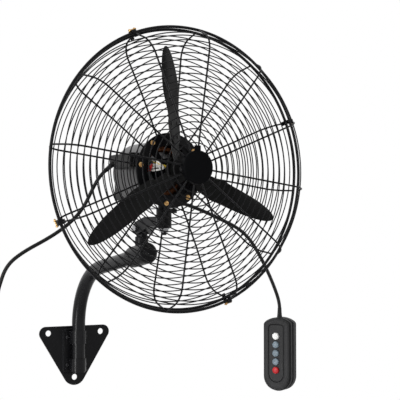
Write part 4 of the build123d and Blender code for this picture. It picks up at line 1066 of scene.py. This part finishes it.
CORD_R = 0.0035
MAINS_ROUTE = (
    (-87.9, 140, 2.24), (-98.7, 140, -6.71), (-112, 142.5, -29), (-132, 144, -70), (-160, 143, -99),
    (-200, 140, -125), (-258, 135.5, -153), (-290, 131.5, -177), (-304, 130, -215),
    (-309.4, 129.3, -238.4), (-309.1, 136.4, -257.1), (-304.16, 149.65, -271.24),
)
COIL_TURNS = 6.125
TURN_PITCH = 7.6
COIL_MEAN_R = 37
POINTS_PER_TURN = 16
NURBS_SHRINK = 0.981
COIL_AWAY = (0.349, 0.937)
COIL_ACROSS = np.array([COIL_AWAY[0], COIL_AWAY[1], 0]) / np.hypot(*COIL_AWAY)
COIL_OUT = np.array([-COIL_AWAY[1], COIL_AWAY[0], 0]) / np.hypot(*COIL_AWAY)
COIL_UP = np.array([0, 0, 1.0])
COIL_START = 45
COIL_LEAD_IN = CORD_R * 2000
COIL_ENTRY_GAP = 0.03


def coil_points(turns, swell=1.0):
    """Point = radius (sin t, cos t): it winds in at an even pitch, climbs a layer and winds out.

    The radius is its least + pitch |turns - middle|, and the climb is the smooth step c c (3 - 2 c).
    """
    middle = COIL_TURNS / 2
    inner = COIL_MEAN_R - TURN_PITCH * COIL_TURNS / 4
    outer = inner + TURN_PITCH * middle
    start = COIL_START - degrees(atan2(TURN_PITCH, 2 * pi * outer))
    angle = np.radians(start + 360 * turns)[:, None]
    climb = np.clip((turns - middle) * 2 + 0.5, 0, 1)[:, None]
    lift = TURN_PITCH * climb * climb * (3 - 2 * climb)
    radius = (inner + TURN_PITCH * np.abs(turns - middle))[:, None] * swell
    return COIL_ACROSS * radius * np.sin(angle) + COIL_UP * radius * np.cos(angle) + COIL_OUT * lift


def coil_way(turn):
    """The coil's direction at a count of turns, from two near points."""
    near = coil_points(np.array([turn - 0.02, turn + 0.02]))
    return (near[1] - near[0]) / np.linalg.norm(near[1] - near[0])


NECK_AT = np.array([HUB_X, HUB_Y, HUB_Z])


def from_neck(points):
    """From millimetres about the hub, with the room's directions, to the row frame in metres."""
    return np.asarray(points, float) / 1000 + NECK_AT


def lead_curve(name, points):
    """A smooth open NURBS line with the route's points as its control points, and a round section."""
    curve = bpy.data.curves.new(name, "CURVE")
    curve.dimensions = "3D"
    spline = curve.splines.new("NURBS")
    spline.points.add(len(points) - 1)
    spline.points.foreach_set("co", np.column_stack([points, np.ones(len(points))]).ravel())
    spline.order_u = 3
    spline.use_endpoint_u = True
    curve.resolution_u = 8
    curve.bevel_depth = CORD_R
    curve.bevel_resolution = 5
    curve.use_fill_caps = True
    return bpy.data.objects.new(name, curve)


coil_counts = np.arange(round(COIL_TURNS * POINTS_PER_TURN) + 1) / POINTS_PER_TURN
coil_entry = np.array(MAINS_ROUTE[-1]) + coil_way(0) * (COIL_ENTRY_GAP + COIL_LEAD_IN)
coil_shift = coil_entry - coil_points(np.array([0.0]))[0]
coil_controls = coil_points(coil_counts, 1 / NURBS_SHRINK) + coil_shift
coil_last = coil_points(np.array([COIL_TURNS]))[0] + coil_shift
coil_end = coil_last + coil_way(COIL_TURNS) * COIL_LEAD_IN
mains_controls = np.concatenate([MAINS_ROUTE, coil_controls, [coil_end]])
mains_lead = placed(
    lead_curve("mains_lead", from_neck(mains_controls)),
    "head", "cord_rubber", CORD_RUBBER, "mains_cord", "mains_coil",
)
softened("coil_tie", "band", 0.0004, "head", "cord_rubber", CORD_RUBBER)
softened("mains_plug", "moulded", 0.0007, "head", "cord_rubber", CORD_RUBBER)


# ---------------------------------------------------------------- pendant cord
# A second rubber cord leaves a grommet under the motor and bends down to the pendant.
# A tapered rubber bush, moulded round its end, keeps it from kinking at the pendant's top.

PENDANT_ROUTE = (
    (52.3, 84, -61), (82, 84, -69.1), (128, 87.5, -86), (180, 90, -106.5), (209, 92, -129),
    (230, 93, -157), (249, 94, -187), (267, 95, -220), (281.5, 95, -254), (282.4, 95, -267),
)
softened("pendant_gland", "moulded", 0.0004, "head", "cord_rubber", CORD_RUBBER)

PENDANT_TOP = (282.4, 95, -287)
BUSH_TALL = 20
# Distances from the bush's axis and heights above the pendant's top
BUSH_PROFILE = (
    (0.2, -2.0), (5.2, -2.0), (5.2, 1.0), (4.6, 6.0), (4.2, 12.0), (3.95, 17.0),
    (3.7, BUSH_TALL), (0.2, BUSH_TALL),
)


def slim_bush():
    """The profile turned about the cord's end: it narrows from its foot in the arch to the cord."""
    points, faces = revolved(*np.array(BUSH_PROFILE).T, 40)
    return from_neck(points + np.array(PENDANT_TOP)), faces


placed(
    closed_piece("pendant_bush_moulded", [slim_bush()], 50),
    "head", "cord_rubber", CORD_RUBBER, "pendant_bush",
)
pendant_lead = placed(
    lead_curve("pendant_lead", from_neck(PENDANT_ROUTE)),
    "head", "cord_rubber", CORD_RUBBER, "pendant_cord",
)


# ---------------------------------------------------------------- pendant
# Two moulded half shells, screwed together from behind, with an inlaid panel in the front one.
# The plastic is charcoal with a fine texture, and the front half has two grooves round its side.

PENDANT_PLASTIC = finish(
    "charcoal_moulding", (0.020, 0.020, 0.021), (0.026, 0.026, 0.027), (0.40, 0.52), 30, 1500,
    relief=0.00004, specular=0.12,
)
PENDANT_FRONT = (-0.866, -0.5, 0)
PENDANT_ACROSS = (0.5, -0.866, 0)
PENDANT_AXES = np.array([PENDANT_ACROSS, (0, 0, 1), PENDANT_FRONT])
PENDANT_HALF_WIDE = 30
PENDANT_TALL = 148
PENDANT_HALF_DEEP = 18
ARCH_R = 48
REAR_ARCH_R = 110
REAR_BEND_DEEP = 45
ARCH_CORNER_R = 9
PANEL_HALF_WIDE = 15.5
PANEL_TOP = -15
PANEL_TALL = 114
PANEL_CORNER_R = 6


def from_pendant(points):
    """From the pendant's own frame, x across, y up and z to its front, to the row frame in metres."""
    return from_neck(np.asarray(points, float) @ PENDANT_AXES + np.array(PENDANT_TOP))


def reshaped(piece, change):
    """Moves the piece's points with a function that works in the pendant's own frame."""
    flat = np.empty(len(piece.data.vertices) * 3)
    piece.data.vertices.foreach_get("co", flat)
    about_top = (flat.reshape(-1, 3) - NECK_AT) * 1000 - np.array(PENDANT_TOP)
    moved = from_pendant(change(about_top @ np.linalg.inv(PENDANT_AXES)))
    piece.data.vertices.foreach_set("co", moved.ravel())


def arc_run(centre, radius, start, end, count):
    """Points of an arc between two angles in degrees."""
    angle = np.radians(np.linspace(start, end, count))
    return np.stack([centre[0] + radius * np.cos(angle), centre[1] + radius * np.sin(angle)], axis=-1)


def even_loop(right_half, count=160):
    """Mirrors the right half of an outline and spreads points evenly along the whole of it."""
    loop = np.concatenate([right_half, (right_half * (-1, 1))[::-1][1:]])
    along = distances(loop)
    even = points_at(loop, along, np.linspace(0, along[-1], count, endpoint=False))
    way = np.roll(even, -1, axis=0) - np.roll(even, 1, axis=0)
    way /= np.linalg.norm(way, axis=1, keepdims=True)
    return even, np.stack([-way[:, 1], way[:, 0]], axis=-1)


def shell_outline():
    """Arched top with round corners, straight sides and a full round foot."""
    corner_x = PENDANT_HALF_WIDE - ARCH_CORNER_R
    corner_y = -ARCH_R + np.sqrt((ARCH_R - ARCH_CORNER_R) ** 2 - corner_x ** 2)
    meet = degrees(atan2(corner_y + ARCH_R, corner_x))
    foot_y = PENDANT_HALF_WIDE - PENDANT_TALL
    return even_loop(np.concatenate([
        arc_run((0, -ARCH_R), ARCH_R, 90, meet, 12),
        arc_run((corner_x, corner_y), ARCH_CORNER_R, meet, 0, 10)[1:],
        arc_run((0, foot_y), PENDANT_HALF_WIDE, 0, -90, 30),
    ]))


def panel_outline():
    """Square shoulders with small corners, straight sides and a full round foot."""
    foot_y = PANEL_TOP - PANEL_TALL + PANEL_HALF_WIDE
    corner = (PANEL_HALF_WIDE - PANEL_CORNER_R, PANEL_TOP - PANEL_CORNER_R)
    return even_loop(np.concatenate([
        [(0, PANEL_TOP)], arc_run(corner, PANEL_CORNER_R, 90, 0, 10),
        arc_run((0, foot_y), PANEL_HALF_WIDE, 0, -90, 24),
    ]))


WALL_INSET = 5.4
PANEL_BACK = 14.4
# From the seam to the face: how far the wall stands in from the shell's outline, and its depth.
# The seam's lip comes first, and each of the two grooves is a step in and a step out.
WALL_PROFILE = (
    (WALL_INSET, -1.7), (0.4, -1.7), (0.2, -1.2), (0.2, -0.6), (0.8, -0.2), (3.4, 0.0), (3.4, 3.4),
    (0.8, 3.7), (0.0, 4.6), (0.0, 8.8), (0.7, 9.8), (1.6, 10.1), (4.4, 10.3), (4.4, 13.4), (2.2, 13.7),
    (1.7, PANEL_BACK), (1.9, 16.0), (2.6, 17.3), (4.2, PENDANT_HALF_DEEP),
)
# From the face down to the panel's back, about the panel's outline
SEAT_PROFILE = ((-1.9, PENDANT_HALF_DEEP), (-1.2, 17.6), (-0.9, 16.8), (-0.9, PANEL_BACK))


def rows_round(outline, profile):
    """A row of points for each step of a profile: outline - inset (outward way), at its depth."""
    line, way = outline
    return [np.column_stack([line - way * inset, np.full(len(line), z)]) for inset, z in profile]


def front_half():
    """A ring-shaped wall: the outline less an inset at each depth, then in to the panel's seat."""
    rows = rows_round(shell_outline(), WALL_PROFILE)
    rows += rows_round(panel_outline(), SEAT_PROFILE)
    rows += rows_round(shell_outline(), ((WALL_INSET, PANEL_BACK), ))
    points = np.stack(rows)
    faces = grid_faces(*points.shape[:2], True, True).tolist()
    return from_pendant(points.reshape(-1, 3)), faces


placed(
    closed_piece("pendant_front_shell_moulded", [front_half()], 32),
    "head", "pendant_plastic", PENDANT_PLASTIC, "pendant_front_shell",
)


def arched(points):
    """Lowers the shoulders by the gap between the flat and the round arch, less and less downwards."""
    x = np.clip(np.abs(points[:, 0]), 0, PENDANT_HALF_WIDE - ARCH_CORNER_R / 2)
    flat = np.sqrt(REAR_ARCH_R ** 2 - x ** 2) - REAR_ARCH_R
    round_top = np.sqrt(ARCH_R ** 2 - x ** 2) - ARCH_R
    share = np.clip(1 + points[:, 1] / REAR_BEND_DEEP, 0, 1)
    points[:, 1] += (round_top - flat) * share
    return points


rear_shell = softened(
    "pendant_rear_shell", "moulded", 0.0008, "head", "pendant_plastic", PENDANT_PLASTIC
)
pendant_screws = softened("pendant_screws", "turned", 0.0002, "head", "steel", BRIGHT_STEEL)
reshaped(rear_shell, arched)
reshaped(pendant_screws, arched)

PANEL_PLASTIC = finish(
    "charcoal_panel", (0.018, 0.018, 0.019), (0.023, 0.023, 0.024), (0.4, 0.5), 40, 1500,
    relief=0.00002, specular=0.12,
)
panel = softened("pendant_panel", "inlay", 0.0009, "head", "pendant_plastic", PANEL_PLASTIC)
softened("pendant_switch_block", "moulded", 0.0005, "head", "black_plastic", BLACK_NYLON)


# ---------------------------------------------------------------- keys
# Five round moulded keys stand in the panel's holes, a white one, three blue-grey and a red one.
# A collar under the panel holds each key, and the switch block's spring pushes it out.

KEY_R = 6.8
KEY_GAP = 0.25
KEY_TOP = 22.4
KEY_DOME = 1.3
COLLAR_R = KEY_R + 0.9
COLLAR_TOP = 14.7
COLLAR_BACK = 13.1
FIRST_KEY_Y = -37.2
KEY_PITCH = 17.1
BLUE_GREY = ("button_blue", (0.14, 0.18, 0.21), (0.19, 0.24, 0.28))
KEY_COLOURS = (
    ("button_white", (0.80, 0.80, 0.79), (0.88, 0.88, 0.87)), BLUE_GREY, BLUE_GREY, BLUE_GREY,
    ("button_red", (0.36, 0.010, 0.014), (0.46, 0.018, 0.022)),
)
KEYS_AT = [FIRST_KEY_Y - KEY_PITCH * number for number in range(len(KEY_COLOURS))]


def widened(points):
    """Moves each hole's rim to centre + way (key radius + gap), so that the panel clears the keys."""
    flat = points[:, :2]
    for y in KEYS_AT:
        away = flat - (0, y)
        r = np.linalg.norm(away, axis=1, keepdims=True)
        flat[:] = np.where(r < KEY_R + 1, away / r * (KEY_R + KEY_GAP) + (0, y), flat)
    return points


def round_key(y):
    """A key with a collar at its foot and a crown that rises as 1 - (r / R)^2, with a rolled edge."""
    crown = np.linspace(0.02, 0.86, 9) * KEY_R
    edge = [0.93 * KEY_R, 0.98 * KEY_R, KEY_R, KEY_R]
    radii = np.concatenate([crown, edge, [COLLAR_R, COLLAR_R, 0.1]])
    dome = KEY_TOP - KEY_DOME * (crown / KEY_R) ** 2
    rim = KEY_TOP - np.array([1.4, 1.9, 2.5])
    heights = np.concatenate([dome, rim, [COLLAR_TOP, COLLAR_TOP, COLLAR_BACK, COLLAR_BACK]])
    points, faces = revolved(radii, heights, 48)
    return from_pendant(points + (0, y, 0)), faces


reshaped(panel, widened)
for number, (y, (slot, dark, light)) in enumerate(zip(KEYS_AT, KEY_COLOURS), 1):
    node = f"pendant_button_{number}"
    look = finish(
        f"key_{number}_plastic", dark, light, (0.30, 0.38), 120, 1500, relief=0.000004, specular=0.25
    )
    placed(closed_piece(f"{node}_key", [round_key(y)]), node, slot, look, node)
